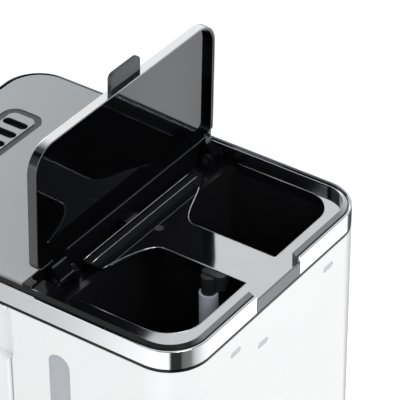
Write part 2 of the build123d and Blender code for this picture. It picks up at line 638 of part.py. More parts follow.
def lid_arm(x0, x1, top):
    """Goose-neck from the lid's front wall down to its knuckle."""
    root = LID_FRONT + ROOT
    face = LID_FRONT - 0.2
    under = LID_BOTTOM + 1.6
    crown = (LID_AXIS_Y, LID_AXIS_Z + KNUCKLE_R)
    sole = (LID_AXIS_Y, LID_AXIS_Z - KNUCKLE_R)
    with BuildSketch(Plane.YZ) as side:
        with BuildLine():
            Line((root, under), (root, top))
            Line((root, top), (face, top))
            Spline(
                (face, top), (face - 5.3, top + 1.9), (face - 12.3, RIM_Z - 0.8), crown,
                tangents=((-1, 0.6), (-1, 0)))
            Line(crown, sole)
            Spline(
                sole, (face - 10.6, RIM_Z - 8.4), (face - 5.6, RIM_Z - 4.2), (face, under),
                tangents=((1, 0), (1, 0)))
            Line((face, under), (root, under))
        make_face()
    arm = Pos(x0, 0, 0) * extrude(side.sketch, x1 - x0)
    return arm + rod(x0, x1, LID_AXIS_Y, LID_AXIS_Z, KNUCKLE_R)


def lid_tab():
    """Finger tab on the lid's free edge."""
    z1 = LID_TOP - 1.0
    shape = slab(-TAB_HALF, TAB_HALF, LID_REAR, LID_REAR + TAB_REACH, z1 - 3.4, z1, 0, 4, 4)
    shape = fillet(shape.edges().group_by(Axis.Z)[-1], 1.0)
    return opened(shape)


def lid_pins():
    """Two steel pins on the lid's axis."""
    spans = ear_spans()
    near = rod(spans[0][0], spans[1][1], LID_AXIS_Y, LID_AXIS_Z, PIN_R)
    far = rod(spans[3][0], spans[2][1], LID_AXIS_Y, LID_AXIS_Z, PIN_R)
    return Compound([near, far])


def filter_holder():
    """White swing-out block, flush with the body, with a shelf for the basket."""
    z0 = HEAD_BOTTOM
    z1 = HOLDER_TOP
    shape = slab(-HALF_WIDTH, HALF_WIDTH, -HALF_DEPTH, HOLDER_REAR, z0, z1, CORNER_R, 2, PIVOT_R)
    shape = fillet(shape.edges().group_by(Axis.Z)[0], 1.2)
    inside = HALF_WIDTH - WALL
    corner_in = CORNER_R - WALL
    rear_in = HOLDER_REAR - WALL
    shape -= slab(-inside, inside, WALL - HALF_DEPTH, rear_in, z0 + WALL, z1 + CUT, corner_in, 1, 2)
    shape += slab(HALF_WIDTH - 10, inside + 0.5, HOLDER_REAR - 30, rear_in + 0.5, RIM_Z - 64, z1)
    shape -= finger_recess()
    front_in = WALL - HALF_DEPTH
    shelf_z = BASKET_TOP - 5
    shelf = slab(-inside - 0.5, HALF_WIDTH - 9, front_in - 0.5, rear_in + 0.5, shelf_z, shelf_z + 2.4, corner_in, 1, 2)
    shelf -= post(0, BREW_Y, 0, RIM_Z, BASKET_R + 2.6)
    shape += shelf & slab(-HALF_WIDTH + 1, HALF_WIDTH - 1, -HALF_DEPTH + 1, HOLDER_REAR - 1, z0, z1, CORNER_R - 1, 1, 3)
    shape += post(PIVOT_X + 1.5, PIVOT_Y - 1.5, z0, z1, 4)
    shape &= slab(-HALF_WIDTH, HALF_WIDTH, -HALF_DEPTH, HOLDER_REAR, z0, z1, CORNER_R, 2, PIVOT_R)
    shape += post(PIVOT_X, PIVOT_Y, z0 - 6, z0 + 1, PIN_R)
    shape += post(PIVOT_X, PIVOT_Y, z1 - 1, DECK_TOP + 2.5, PIN_R)
    shape -= post(0, BREW_Y, 0, z0 + WALL + 1, 10)
    return shape


def filter_basket():
    """Black cone with flutes, flange and drip nozzle."""
    z0 = BASKET_FLOOR
    low_r = 27
    with BuildSketch(Plane.XZ) as side:
        with BuildLine():
            Polyline(
                (4, z0 - 12), (7, z0 - 12), (7, z0 - 2.4), (low_r + 1, z0 - 2.4), (BASKET_R + 2, BASKET_TOP - 2.4),
                (BASKET_R + 6, BASKET_TOP - 2.4), (BASKET_R + 6, BASKET_TOP), (BASKET_R, BASKET_TOP),
                (low_r - 1, z0), (4, z0), close=True)
        make_face()
    shape = revolve(side.sketch, Axis.Z)
    rib_run = BASKET_TOP - 8 - z0
    with BuildSketch(Plane.XZ) as fin:
        with BuildLine():
            Polyline(
                (low_r - 0.5, z0 - 1), (low_r - 3, z0 - 1), (BASKET_R - 5, z0 + rib_run),
                (BASKET_R - 0.5, z0 + rib_run), close=True)
        make_face()
    rib = extrude(fin.sketch, 0.7, both=True)
    for index in range(20):
        shape += Rot(0, 0, index * 18) * rib
    return Pos(0, BREW_Y, 0) * shape


def drip_valve():
    """Valve stem with a pad below and a seal above."""
    tip = HEAD_BOTTOM - 6
    shape = post(0, BREW_Y, tip, BASKET_FLOOR + 0.5, 2.6)
    shape += fillet(post(0, BREW_Y, tip, tip + 1.6, 9).edges(), 0.5)
    shape += post(0, BREW_Y, BASKET_FLOOR + 0.3, BASKET_FLOOR + 2, 6.4)
    return shape


def valve_spring():
    """Coil between the nozzle and the pad."""
    z0 = HEAD_BOTTOM - 3.8
    height = 8.6
    coil = Helix(pitch=height / 4, height=height, radius=4.6)
    start = Plane(origin=coil @ 0, z_dir=coil % 0)
    return Pos(0, BREW_Y, z0) * sweep(start * Circle(0.45), path=coil, is_frenet=True)


def warming_plate():
    """Round coated plate with a ring groove and a heater bed below."""
    shape = post(0, BREW_Y, PLATE_TOP - 1.8, PLATE_TOP, PLATE_R)
    shape = fillet(shape.edges().group_by(Axis.Z)[-1], 0.8)
    groove_r = PLATE_R - 4.1
    groove = post(0, BREW_Y, PLATE_TOP - 0.6, PLATE_TOP + 1, groove_r)
    shape -= groove - post(0, BREW_Y, PLATE_TOP - 1, PLATE_TOP + 2, groove_r - 2)
    bed = post(0, BREW_Y, HEATER_Z + 5.2, PLATE_TOP - 1.5, PLATE_R - 9.6)
    bed -= post(0, BREW_Y, 0, PLATE_TOP - 1.8, PLATE_R - 25.6)
    return shape + bed


def mirrored_run(points):
    """Horseshoe run: the given points, then their mirror images in reverse."""
    return points + [(-x, y, z) for x, y, z in reversed(points)]


def heating_element():
    """Horseshoe water tube under the plate, with the heating rod inside it."""
    z = HEATER_Z
    front = BREW_Y - 44
    bend = 12
    rear = BREW_Y + 72
    step = BREW_Y + 46
    bow = mirrored_run([(44, BREW_Y + 28, z), (44, BREW_Y - 18, z), (20, front, z)])
    points = [(RISER_X, rear, z), (RISER_X, step, z)] + bow + [(SUPPLY_X, step, z), (SUPPLY_X, rear, z)]
    r = HOSE_BORE - 0.05
    rod_points = mirrored_run([(34, BREW_Y + 22, z), (34, BREW_Y - 14, z), (14, front + 9, z)])
    return Compound([tube(points, bend, r, r - 1.3), tube(rod_points, bend, 3.4, 1.0)])


def heater_bracket():
    """Steel strap that presses the heater to the plate."""
    shape = slab(-52, 52, BREW_Y - 5, BREW_Y + 5, HEATER_Z - 7, HEATER_Z - 5.1, 4, 4, 4)
    shape += post(0, BREW_Y, HEATER_Z - 5.5, PLATE_TOP - 1.8, 4)
    return shape


def thermostat():
    """Switch can under the strap, with two blades."""
    z1 = HEATER_Z - 7
    shape = post(-16, BREW_Y, z1 - 9, z1, 8)
    for y in (-3.5, 3.5):
        shape += slab(-16.4, -15.6, BREW_Y + y - 2, BREW_Y + y + 2, z1 - 15, z1 - 8)
    return shape


def thermal_fuse():
    """Small fuse barrel clipped under the strap."""
    z = HEATER_Z - 7 - 2.6
    return rod(8, 28, BREW_Y, z, 2.5) + rod(2, 34, BREW_Y, z, 0.6)


def fascia():
    """Dark control plate with holes for the display and buttons."""
    front = -HALF_DEPTH - 1.2
    outer = Pos(0, front, PANEL_Z) * Rot(-90, 0, 0) * extrude(RectangleRounded(2 * FASCIA_HALF, FASCIA_H, 5), 1.2)
    inner_w = 2 * FASCIA_HALF - 4.6
    inner = Pos(0, (-HALF_DEPTH - 0.1 - HALF_DEPTH + 3) / 2, PANEL_Z) * Box(inner_w, 3.1, FASCIA_H - 4.6)
    shape = outer + inner
    shape -= Pos(0, -HALF_DEPTH, PANEL_Z) * Box(34, 20, 16)
    for x in BUTTON_SPOTS.values():
        shape -= plug(x, PANEL_Z, -HALF_DEPTH - 5, -HALF_DEPTH + 5, BUTTON_R + BUTTON_GAP)
    shape -= plug(POWER_X, PANEL_Z, -HALF_DEPTH - 5, -HALF_DEPTH + 5, POWER_R + BUTTON_GAP)
    for x in (-50, 50):
        for dz in (-11, 11):
            shape += plug(x, PANEL_Z + dz, -HALF_DEPTH + 2.5, -HALF_DEPTH + 10.3, 2)
    return shape


def button(x, radius):
    """Round key with a retaining flange and a stem."""
    front = -HALF_DEPTH - 2.6
    shape = plug(x, PANEL_Z, front, -HALF_DEPTH + 4.5, radius)
    shape = fillet(shape.edges().group_by(Axis.Y)[0], 0.8)
    shape += plug(x, PANEL_Z, -HALF_DEPTH + 3.4, -HALF_DEPTH + 4.8, radius + 1.6)
    shape += plug(x, PANEL_Z, -HALF_DEPTH + 4.5, -HALF_DEPTH + 7, 2)
    return shape


def display_window():
    """Clear window in the fascia."""
    return Pos(0, -HALF_DEPTH - 0.2, PANEL_Z) * Box(33.8, 1.6, 15.8)


def display_module():
    """Display glass block behind the window."""
    return Pos(0, -HALF_DEPTH + 4.5, PANEL_Z) * Box(38, 8, 19) - Pos(0, -HALF_DEPTH + 1, PANEL_Z) * Box(39, 4.2, 20)


def circuit_board():
    """Board behind the fascia with a relay and a capacitor."""
    y0 = -HALF_DEPTH + 10.4
    shape = Pos(0, y0 + 0.8, PANEL_Z) * Box(106, 1.6, 30)
    shape += Pos(-30, y0 + 7, PANEL_Z) * Box(19, 12, 15)
    shape += plug(20, PANEL_Z, y0 + 1, y0 + 14, 5)
    shape += Pos(2, y0 + 3, PANEL_Z) * Box(10, 4, 16)
    return shape


def tact_switches():
    """Four small switches on the board behind the buttons."""
    y1 = -HALF_DEPTH + 10.4
    group = []
    for x in list(BUTTON_SPOTS.values()) + [POWER_X]:
        group.append(Pos(x, y1 - 0.7, PANEL_Z) * Box(6, 1.4, 6))
    return Compound(group)


def glass_side(inset):
    """Half outline of the carafe, drawn in by the glass thickness."""
    z0 = CARAFE_Z + inset
    foot = BELLY_R - 14
    with BuildLine(Plane.XZ) as side:
        Line((0, z0), (foot, z0))
        Spline(
            (foot, z0), (BELLY_R - 2 - inset, z0 + 16 - inset), (BELLY_R - inset, BELLY_Z),
            (BELLY_R - 7 - inset, (BELLY_Z + NECK_Z) / 2), (NECK_R - inset, NECK_Z),
            tangents=((1, 0), (0, 1)))
        Line((NECK_R - inset, NECK_Z), (NECK_R - inset, GLASS_TOP))
        Line((NECK_R - inset, GLASS_TOP), (0, GLASS_TOP))
        Line((0, GLASS_TOP), (0, z0))
    return revolve(make_face(side.line), Axis.Z)


def carafe_glass():
    """Blown glass jug, open at the top."""
    inner = glass_side(GLASS_T)
    shape = glass_side(0) - inner
    return Pos(0, BREW_Y, 0) * shape


def carafe_band():
    """Steel strap round the neck."""
    shape = post(0, BREW_Y, STRAP_Z, STRAP_Z + STRAP_H, NECK_R + STRAP_T)
    return shape - post(0, BREW_Y, STRAP_Z - 1, GLASS_TOP, NECK_R)


def carafe_collar():
    """Black collar over the glass rim, with a pouring spout at the rear."""
    z0 = COLLAR_Z
    z1 = COLLAR_TOP
    shape = post(0, BREW_Y, z0, z1, COLLAR_R)
    low = Pos(0, BREW_Y + COLLAR_R - 7, z0 + 4) * Circle(6)
    high = Pos(0, BREW_Y + COLLAR_R + 1, z1) * Circle(11)
    spout = loft([low, high], ruled=True)
    shape += spout
    low_in = Pos(0, BREW_Y + COLLAR_R - 8, z0 + 6) * Circle(4)
    high_in = Pos(0, BREW_Y + COLLAR_R, z1 + 1) * Circle(9.4)
    shape -= loft([low_in, high_in], ruled=True)
    shape -= post(0, BREW_Y, z0 - 1, GLASS_TOP, NECK_R)
    shape -= post(0, BREW_Y, z0 - 1, z1 + 1, NECK_R - GLASS_T)
    return shape


def carafe_lid():
    """Brew-through lid with a dished top and a thumb tab."""
    r = NECK_R - GLASS_T - 0.4
    z0 = GLASS_TOP - 5
    seat = COLLAR_TOP + 0.6
    crown = seat + 4.4
    shape = post(0, BREW_Y, z0, seat + 0.8, r)
    shape -= post(0, BREW_Y, z0 - 1, seat - 1.6, r - 2)
    top = post(0, BREW_Y, seat, crown, NECK_R + 3)
    shape += fillet(top.edges().group_by(Axis.Z)[-1], 3)
    shape += slab(-9, 9, BREW_Y - NECK_R - 14, BREW_Y - NECK_R + 4, seat + 0.4, crown, 5, 0, 0)
    shape -= Pos(0, BREW_Y, crown + 2) * Cone(14, 36, 10)
    shape += post(0, BREW_Y, z0 + 4, crown - 2, 12)
    shape -= post(0, BREW_Y, z0 - 4, crown + 11, 5)
    return shape


def carafe_handle():
    """Black loop handle with rounded edges, seated on the steel band."""
    grip = BREW_Y - BELLY_R - 44
    root = BREW_Y - BELLY_R - 1.5
    top = GLASS_TOP - 1
    low = BELLY_Z - 28
    with BuildSketch(Plane.YZ) as side:
        with BuildLine():
            Polyline(
                (grip, low + 10), (grip, top), (BREW_Y - NECK_R + 7, top), (BREW_Y - NECK_R + 7, top - 18),
                (grip + 38, top - 18), (grip + 14, top - 26), (grip + 14, low + 22), (grip + 26, low + 14),
                (root, low + 14), (root, low), (grip + 8, low), close=True)
        make_face()
        fillet(side.vertices(), 3.5)
    shape = extrude(side.sketch, 8, both=True)
    shape = fillet(shape.edges().group_by(Axis.X)[0] + shape.edges().group_by(Axis.X)[-1], 2.5)
    shape -= post(0, BREW_Y, STRAP_Z - 9, COLLAR_Z, NECK_R + STRAP_T)
    shape -= post(0, BREW_Y, COLLAR_Z - 0.1, GLASS_TOP + CUT, COLLAR_R)
    shape -= carafe_screw()
    return shape


def carafe_screw():
    """Screw through the handle into the steel band."""
    y1 = BREW_Y - NECK_R - STRAP_T - 0.1
    return plug(0, STRAP_Z + STRAP_H / 2, y1 - 3, y1, 2)


PIECES = {
    "base_housing": base_housing, "base_cover": base_cover, "base_screws": base_screws, "feet": feet,
    "rear_housing": rear_housing, "level_window": level_window, "cord_gland": cord_gland,
    "top_deck": top_deck, "chrome_band": chrome_band, "rim_collar": rim_collar, "bridge_screw": bridge_screw,
    "hinge_rail": hinge_rail,
    "notch_plate": notch_plate, "top_panel": top_panel, "water_tank": water_tank, "check_valve": check_valve,
    "cold_hose": cold_hose, "riser_hose": riser_hose, "outlet_elbow": outlet_elbow, "brew_pipe": brew_pipe,
    "spray_head": spray_head, "lid_shell": lid_shell, "lid_liner": lid_liner, "lid_tab": lid_tab,
    "lid_pins": lid_pins, "filter_holder": filter_holder, "filter_basket": filter_basket,
    "drip_valve": drip_valve, "valve_spring": valve_spring, "warming_plate": warming_plate,
    "heating_element": heating_element, "heater_bracket": heater_bracket, "thermostat": thermostat,
    "thermal_fuse": thermal_fuse, "fascia": fascia, "display_window": display_window,
    "display_module": display_module, "circuit_board": circuit_board, "tact_switches": tact_switches,
    "carafe_glass": carafe_glass, "carafe_band": carafe_band, "carafe_collar": carafe_collar,
    "carafe_lid": carafe_lid, "carafe_handle": carafe_handle, "carafe_screw": carafe_screw,
}

for piece_name, maker in PIECES.items():
    save(maker(), piece_name)
for piece_name, button_x in BUTTON_SPOTS.items():
    save(button(button_x, BUTTON_R), piece_name)
save(button(POWER_X, POWER_R), "power_button")
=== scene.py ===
import math

import bpy
import numpy as np
from mathutils import Matrix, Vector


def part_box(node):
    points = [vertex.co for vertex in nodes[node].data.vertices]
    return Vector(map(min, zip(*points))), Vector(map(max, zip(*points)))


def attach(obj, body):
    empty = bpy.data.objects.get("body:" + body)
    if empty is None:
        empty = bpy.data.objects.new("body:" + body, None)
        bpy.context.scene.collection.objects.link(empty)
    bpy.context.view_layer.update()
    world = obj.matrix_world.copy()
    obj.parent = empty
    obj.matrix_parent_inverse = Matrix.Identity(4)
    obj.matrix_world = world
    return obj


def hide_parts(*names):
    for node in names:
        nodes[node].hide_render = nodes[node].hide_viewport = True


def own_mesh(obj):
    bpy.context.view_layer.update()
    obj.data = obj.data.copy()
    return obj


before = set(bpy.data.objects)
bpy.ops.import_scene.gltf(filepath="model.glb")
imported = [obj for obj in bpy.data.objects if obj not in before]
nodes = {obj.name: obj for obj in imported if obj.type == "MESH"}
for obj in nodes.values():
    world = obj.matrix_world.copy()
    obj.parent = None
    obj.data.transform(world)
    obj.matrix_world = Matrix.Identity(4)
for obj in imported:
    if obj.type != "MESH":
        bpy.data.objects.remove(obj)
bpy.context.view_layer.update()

MM = 0.001
RIM_Z = 0.360
LEDGE_Z = 354.5 * MM

X, Y, Z = (1, 0, 0), (0, 1, 0), (0, 0, 1)
BACK_X = (-1, 0, 0)
FRONT = (0, -1, 0)


# Small helpers that build shader nodes.

def feed(tree, value, slot):
    """Gives an input its value: a link if it is a socket, else the plain value."""
    if isinstance(value, bpy.types.NodeSocket):
        tree.links.new(value, slot)
    else:
        slot.default_value = value


def math_node(tree, operation, *values, clamp=False):
    """One Math node; its values are sockets or numbers."""
    node = tree.nodes.new("ShaderNodeMath")
    node.operation = operation
    node.use_clamp = clamp
    for slot, value in zip(node.inputs, values):
        feed(tree, value, slot)
    return node.outputs[0]


def mix_node(tree, kind, factor, below, above):
    """One Mix node for colours or floats: below where the factor is 0, above where it is 1."""
    node = tree.nodes.new("ShaderNodeMix")
    node.data_type = kind
    for label, value in (("Factor", factor), ("A", below), ("B", above)):
        feed(tree, value, node.inputs[label])
    return node.outputs["Result"]


def noise_node(tree, vector, scale, detail, roughness=0.5):
    """Noise value in 0..1 at a scale given by a socket or a number."""
    node = tree.nodes.new("ShaderNodeTexNoise")
    node.inputs["Detail"].default_value = detail
    node.inputs["Roughness"].default_value = roughness
    tree.links.new(vector, node.inputs["Vector"])
    feed(tree, scale, node.inputs["Scale"])
    return node.outputs["Fac"]


def along(tree, vector, axis):
    """One axis of a vector socket, such as the object's own coordinates or its normal."""
    split = tree.nodes.new("ShaderNodeSeparateXYZ")
    tree.links.new(vector, split.inputs[0])
    return split.outputs[axis]


def spread(tree, value, low, high):
    """Maps a mask from 0..1 to low..high."""
    node = tree.nodes.new("ShaderNodeMapRange")
    node.inputs["To Min"].default_value = low
    node.inputs["To Max"].default_value = high
    tree.links.new(value, node.inputs["Value"])
    return node.outputs["Result"]


def zone(tree, value, start, end):
    """Soft step: 0 where the value is at start, 1 where it is at end."""
    node = tree.nodes.new("ShaderNodeMapRange")
    node.interpolation_type = "SMOOTHSTEP"
    node.inputs["From Min"].default_value = start
    node.inputs["From Max"].default_value = end
    tree.links.new(value, node.inputs["Value"])
    return node.outputs["Result"]


# Effects shared by several materials, each a node group with named sockets.

MOTTLE_SHARE = 0.04
HAZE_FLOOR = 0.42
HAZE_CONTRAST = 3.0
LINE_SQUEEZE = 40.0
DUST_SCALE = 70.0


def new_group(name, inputs, outputs):
    """Empty shader group with the inputs and outputs asked for, and its two end nodes."""
    group = bpy.data.node_groups.new(name, "ShaderNodeTree")
    for label, kind, value in inputs:
        socket = group.interface.new_socket(name=label, in_out="INPUT", socket_type=kind)
        if value is not None:
            socket.default_value = value
    for label, kind in outputs:
        group.interface.new_socket(name=label, in_out="OUTPUT", socket_type=kind)
    return group, group.nodes.new("NodeGroupInput"), group.nodes.new("NodeGroupOutput")


def build_moulded_grain():
    """Skin of a moulding: a fine noise for its pits and a coarse one for its soft mottle."""
    group, head, tail = new_group(
        "moulded_grain",
        [("Vector", "NodeSocketVector", None), ("Scale", "NodeSocketFloat", 900.0)],
        [("Height", "NodeSocketFloat"), ("Mottle", "NodeSocketFloat")])
    fine = noise_node(group, head.outputs["Vector"], head.outputs["Scale"], detail=2.0)
    coarse_scale = math_node(group, "MULTIPLY", head.outputs["Scale"], MOTTLE_SHARE)
    coarse = noise_node(group, head.outputs["Vector"], coarse_scale, detail=3.0)
    group.links.new(fine, tail.inputs["Height"])
    group.links.new(coarse, tail.inputs["Mottle"])
    return group


def build_handling_haze():
    """Broad faint smudges of a wiped glossy face: a low noise, raised in contrast."""
    group, head, tail = new_group(
        "handling_haze",
        [("Vector", "NodeSocketVector", None), ("Scale", "NodeSocketFloat", 18.0)],
        [("Haze", "NodeSocketFloat")])
    low = noise_node(group, head.outputs["Vector"], head.outputs["Scale"], detail=4.0, roughness=0.6)
    centred = math_node(group, "SUBTRACT", low, HAZE_FLOOR)
    sharp = math_node(group, "MULTIPLY", centred, HAZE_CONTRAST, clamp=True)
    group.links.new(sharp, tail.inputs["Haze"])
    return group


def build_brushed_lines():
    """Long thin lines along X: noise whose coordinates are squeezed in Y and Z."""
    group, head, tail = new_group(
        "brushed_lines",
        [("Vector", "NodeSocketVector", None), ("Scale", "NodeSocketFloat", 60.0)],
        [("Line", "NodeSocketFloat")])
    mapping = group.nodes.new("ShaderNodeMapping")
    mapping.inputs["Scale"].default_value = (1.0, LINE_SQUEEZE, LINE_SQUEEZE)
    group.links.new(head.outputs["Vector"], mapping.inputs["Vector"])
    line = noise_node(group, mapping.outputs["Vector"], head.outputs["Scale"], detail=3.0)
    group.links.new(line, tail.inputs["Line"])
    return group


def build_corner_dust():
    """Dust on faces that look up: the normal's upward share times a noise and an amount."""
    group, head, tail = new_group(
        "corner_dust",
        [("Vector", "NodeSocketVector", None), ("Amount", "NodeSocketFloat", 0.1)],
        [("Dust", "NodeSocketFloat")])
    normal = group.nodes.new("ShaderNodeNewGeometry").outputs["Normal"]
    upward = math_node(group, "MAXIMUM", along(group, normal, "Z"), 0.0)
    cloud = noise_node(group, head.outputs["Vector"], DUST_SCALE, detail=5.0, roughness=0.65)
    thin = math_node(group, "MULTIPLY", upward, cloud)
    dust = math_node(group, "MULTIPLY", thin, head.outputs["Amount"], clamp=True)
    group.links.new(dust, tail.inputs["Dust"])
    return group


GRAIN = build_moulded_grain()
HAZE = build_handling_haze()
LINES = build_brushed_lines()
DUST = build_corner_dust()


def place_group(tree, group, vector, **values):
    """Puts a shared effect in a material and sets its own values."""
    node = tree.nodes.new("ShaderNodeGroup")
    node.node_tree = group
    tree.links.new(vector, node.inputs["Vector"])
    for label, value in values.items():
        node.inputs[label].default_value = value
    return node


# Makers of materials. Each keeps its material in FINISHES under its name.

FINISHES = {}
PIT_HEIGHT = 0.4 * MM
LINE_HEIGHT = 0.2 * MM
WAVE_HEIGHT = 2.0 * MM
BODY_HAZE = 18.0
WINDOW_HAZE = 30.0
WINDOW_SMUDGE = 0.06
GLASS_HAZE = 25.0
GLASS_ROUGH = 0.02
GLASS_CLEAN_ROUGH = 0.01
GLASS_SMUDGED_ROUGH = 0.05
WAVE_SCALE = 22.0
WAVE_STRENGTH = 0.08
DUST_COLOR = (0.55, 0.54, 0.52, 1.0)


def start_material(name, color, rough, metallic=0.0, **shader_values):
    """New material with a Principled shader: its tree, its shader and object coordinates."""
    material = bpy.data.materials.new(name)
    material.use_nodes = True
    FINISHES[name] = material
    tree = material.node_tree
    shader = tree.nodes["Principled BSDF"]
    shader.inputs["Base Color"].default_value = (*color, 1.0)
    shader.inputs["Roughness"].default_value = rough
    shader.inputs["Metallic"].default_value = metallic
    for label, value in shader_values.items():
        shader.inputs[label.replace("_", " ")].default_value = value
    return tree, shader, tree.nodes.new("ShaderNodeTexCoord").outputs["Object"]


def blend_colors(tree, factor, below, above):
    """Mix of two plain colours by a mask socket."""
    return mix_node(tree, "RGBA", factor, (*below, 1.0), (*above, 1.0))


def add_bump(tree, shader, height, strength, distance):
    """Height to the shader's normal."""
    bump = tree.nodes.new("ShaderNodeBump")
    bump.inputs["Strength"].default_value = strength
    bump.inputs["Distance"].default_value = distance
    tree.links.new(height, bump.inputs["Height"])
    tree.links.new(bump.outputs["Normal"], shader.inputs["Normal"])


def moulded(name, color, shade, rough, rough_span, grain, depth, dust=0.0, **values):
    """Moulded plastic or rubber: mottled colour, varied gloss and a fine pitted skin."""
    tree, shader, coords = start_material(name, color, rough, **values)
    skin = place_group(tree, GRAIN, coords, Scale=grain)
    tint = blend_colors(tree, skin.outputs["Mottle"], color, shade)
    if dust > 0.0:
        film = place_group(tree, DUST, coords, Amount=dust)
        tint = mix_node(tree, "RGBA", film.outputs["Dust"], tint, DUST_COLOR)
    tree.links.new(tint, shader.inputs["Base Color"])
    gloss = spread(tree, skin.outputs["Mottle"], rough - rough_span, rough + rough_span)
    tree.links.new(gloss, shader.inputs["Roughness"])
    add_bump(tree, shader, skin.outputs["Height"], depth, PIT_HEIGHT)


def polished(name, color, shade, rough, haze_rough, metallic=0.0, **values):
    """Glossy or mirror finish: flat, with faint wiped smudges in its colour and gloss."""
    tree, shader, coords = start_material(name, color, rough, metallic, **values)
    smudge = place_group(tree, HAZE, coords, Scale=BODY_HAZE)
    tint = blend_colors(tree, smudge.outputs["Haze"], color, shade)
    tree.links.new(tint, shader.inputs["Base Color"])
    gloss = spread(tree, smudge.outputs["Haze"], rough, haze_rough)
    tree.links.new(gloss, shader.inputs["Roughness"])


def brushed(name, color, shade, rough, rough_span, metallic, scale, depth):
    """Brushed metal or metallic paint: fine lines in colour, gloss and bump."""
    tree, shader, coords = start_material(name, color, rough, metallic)
    lines = place_group(tree, LINES, coords, Scale=scale)
    tint = blend_colors(tree, lines.outputs["Line"], color, shade)
    tree.links.new(tint, shader.inputs["Base Color"])
    gloss = spread(tree, lines.outputs["Line"], rough - rough_span, rough + rough_span)
    tree.links.new(gloss, shader.inputs["Roughness"])
    add_bump(tree, shader, lines.outputs["Line"], depth, LINE_HEIGHT)


def clear(name, color, rough, ior, alpha):
    """Clear or tinted window: partly transparent gloss with faint smudges."""
    tree, shader, coords = start_material(name, color, rough, IOR=ior, Alpha=alpha)
    smudge = place_group(tree, HAZE, coords, Scale=WINDOW_HAZE)
    gloss = spread(tree, smudge.outputs["Haze"], rough, rough + WINDOW_SMUDGE)
    tree.links.new(gloss, shader.inputs["Roughness"])


def blown_glass(name, color):
    """Glass with true refraction, faint waves in its walls and faint smudges."""
    tree, shader, coords = start_material(name, color, GLASS_ROUGH, IOR=1.47, Transmission_Weight=1.0)
    wave = noise_node(tree, coords, scale=WAVE_SCALE, detail=1.0)
    add_bump(tree, shader, wave, WAVE_STRENGTH, WAVE_HEIGHT)
    smudge = place_group(tree, HAZE, coords, Scale=GLASS_HAZE)
    gloss = spread(tree, smudge.outputs["Haze"], GLASS_CLEAN_ROUGH, GLASS_SMUDGED_ROUGH)
    tree.links.new(gloss, shader.inputs["Roughness"])


# Moulded: two colours, roughness, its span, scale and depth of the pits, then dust if any.

moulded("white_shell", (0.86, 0.87, 0.875), (0.83, 0.84, 0.845), 0.24, 0.04, 700, 0.03)
moulded("black_satin", (0.012, 0.012, 0.013), (0.017, 0.017, 0.018), 0.38, 0.06, 1100, 0.12, 0.03)
moulded("tank_gloss", (0.006, 0.006, 0.007), (0.009, 0.009, 0.010), 0.22, 0.05, 500, 0.03)
moulded("rubber_black", (0.020, 0.020, 0.021), (0.028, 0.028, 0.028), 0.75, 0.08, 1500, 0.3)
moulded("soft_grey", (0.42, 0.42, 0.41), (0.36, 0.36, 0.35), 0.55, 0.06, 900, 0.1)
moulded("hose_grey", (0.40, 0.43, 0.48), (0.46, 0.49, 0.54), 0.30, 0.06, 500, 0.06)
moulded("notch_grey", (0.155, 0.165, 0.180), (0.175, 0.186, 0.205), 0.42, 0.05, 1300, 0.12)
moulded("tab_grey", (0.038, 0.043, 0.048), (0.048, 0.053, 0.058), 0.30, 0.05, 1300, 0.05,
        Specular_IOR_Level=0.35)
moulded("board_green", (0.02, 0.13, 0.05), (0.03, 0.17, 0.07), 0.35, 0.06, 300, 0.05)
moulded("plate_coat", (0.020, 0.020, 0.022), (0.028, 0.028, 0.030), 0.45, 0.08, 1600, 0.2, 0.05)
# Dark finishes of painted shade for the vents: their slots and tray, and their groove.
moulded("vent_painted_shade", (0.006, 0.006, 0.007), (0.010, 0.010, 0.011), 0.55, 0.06, 1200, 0.10)
moulded("groove_painted_shade", (0.060, 0.066, 0.070), (0.075, 0.080, 0.085), 0.50, 0.06, 1200, 0.10)
moulded("mark_grey", (0.58, 0.59, 0.60), (0.52, 0.53, 0.54), 0.40, 0.05, 900, 0.05)
moulded("digit_ink", (0.02, 0.025, 0.02), (0.03, 0.035, 0.03), 0.45, 0.05, 900, 0.03)
moulded("mark_white", (0.75, 0.75, 0.75), (0.70, 0.70, 0.70), 0.50, 0.05, 900, 0.05)
moulded("ring_glow", (0.10, 0.16, 0.24), (0.12, 0.19, 0.28), 0.30, 0.05, 600, 0.03)

# Polished: two colours, roughness where clean and where smudged, then the metallic share if any.

polished("deck_gloss", (0.004, 0.004, 0.005), (0.007, 0.007, 0.008), 0.14, 0.22,
         Specular_IOR_Level=0.2)
# The elbow is made black as painted shade under the bridge.
polished("elbow_painted_shade", (0.012, 0.013, 0.015), (0.018, 0.019, 0.021), 0.20, 0.28)
# Its bluish specular tint paints a blue cast into the lid's reflections.
polished("lid_gloss", (0.0015, 0.0016, 0.002), (0.003, 0.003, 0.0035), 0.04, 0.07,
         Specular_IOR_Level=0.70, Specular_Tint=(0.88, 0.93, 1.0, 1.0))
polished("fascia_gloss", (0.010, 0.010, 0.012), (0.014, 0.014, 0.016), 0.08, 0.16, Coat_Weight=0.3)
polished("key_silver", (0.52, 0.53, 0.55), (0.48, 0.49, 0.51), 0.22, 0.30, 0.8)
polished("rim_mirror", (0.64, 0.65, 0.67), (0.61, 0.62, 0.64), 0.06, 0.10, 1.0)
polished("band_mirror", (0.78, 0.79, 0.81), (0.75, 0.76, 0.78), 0.06, 0.10, 1.0)
# A brighter chrome for the edge lips, as painted highlights.
polished("highlight_lip_mirror", (0.88, 0.89, 0.91), (0.84, 0.85, 0.87), 0.12, 0.18, 1.0)
polished("lcd_face", (0.50, 0.58, 0.49), (0.46, 0.54, 0.45), 0.35, 0.40)
polished("rail_gloss", (0.002, 0.002, 0.003), (0.004, 0.004, 0.005), 0.30, 0.38,
         Specular_IOR_Level=0.04)

# Brushed: two colours, roughness, its span, the metallic share, scale and depth of the lines.

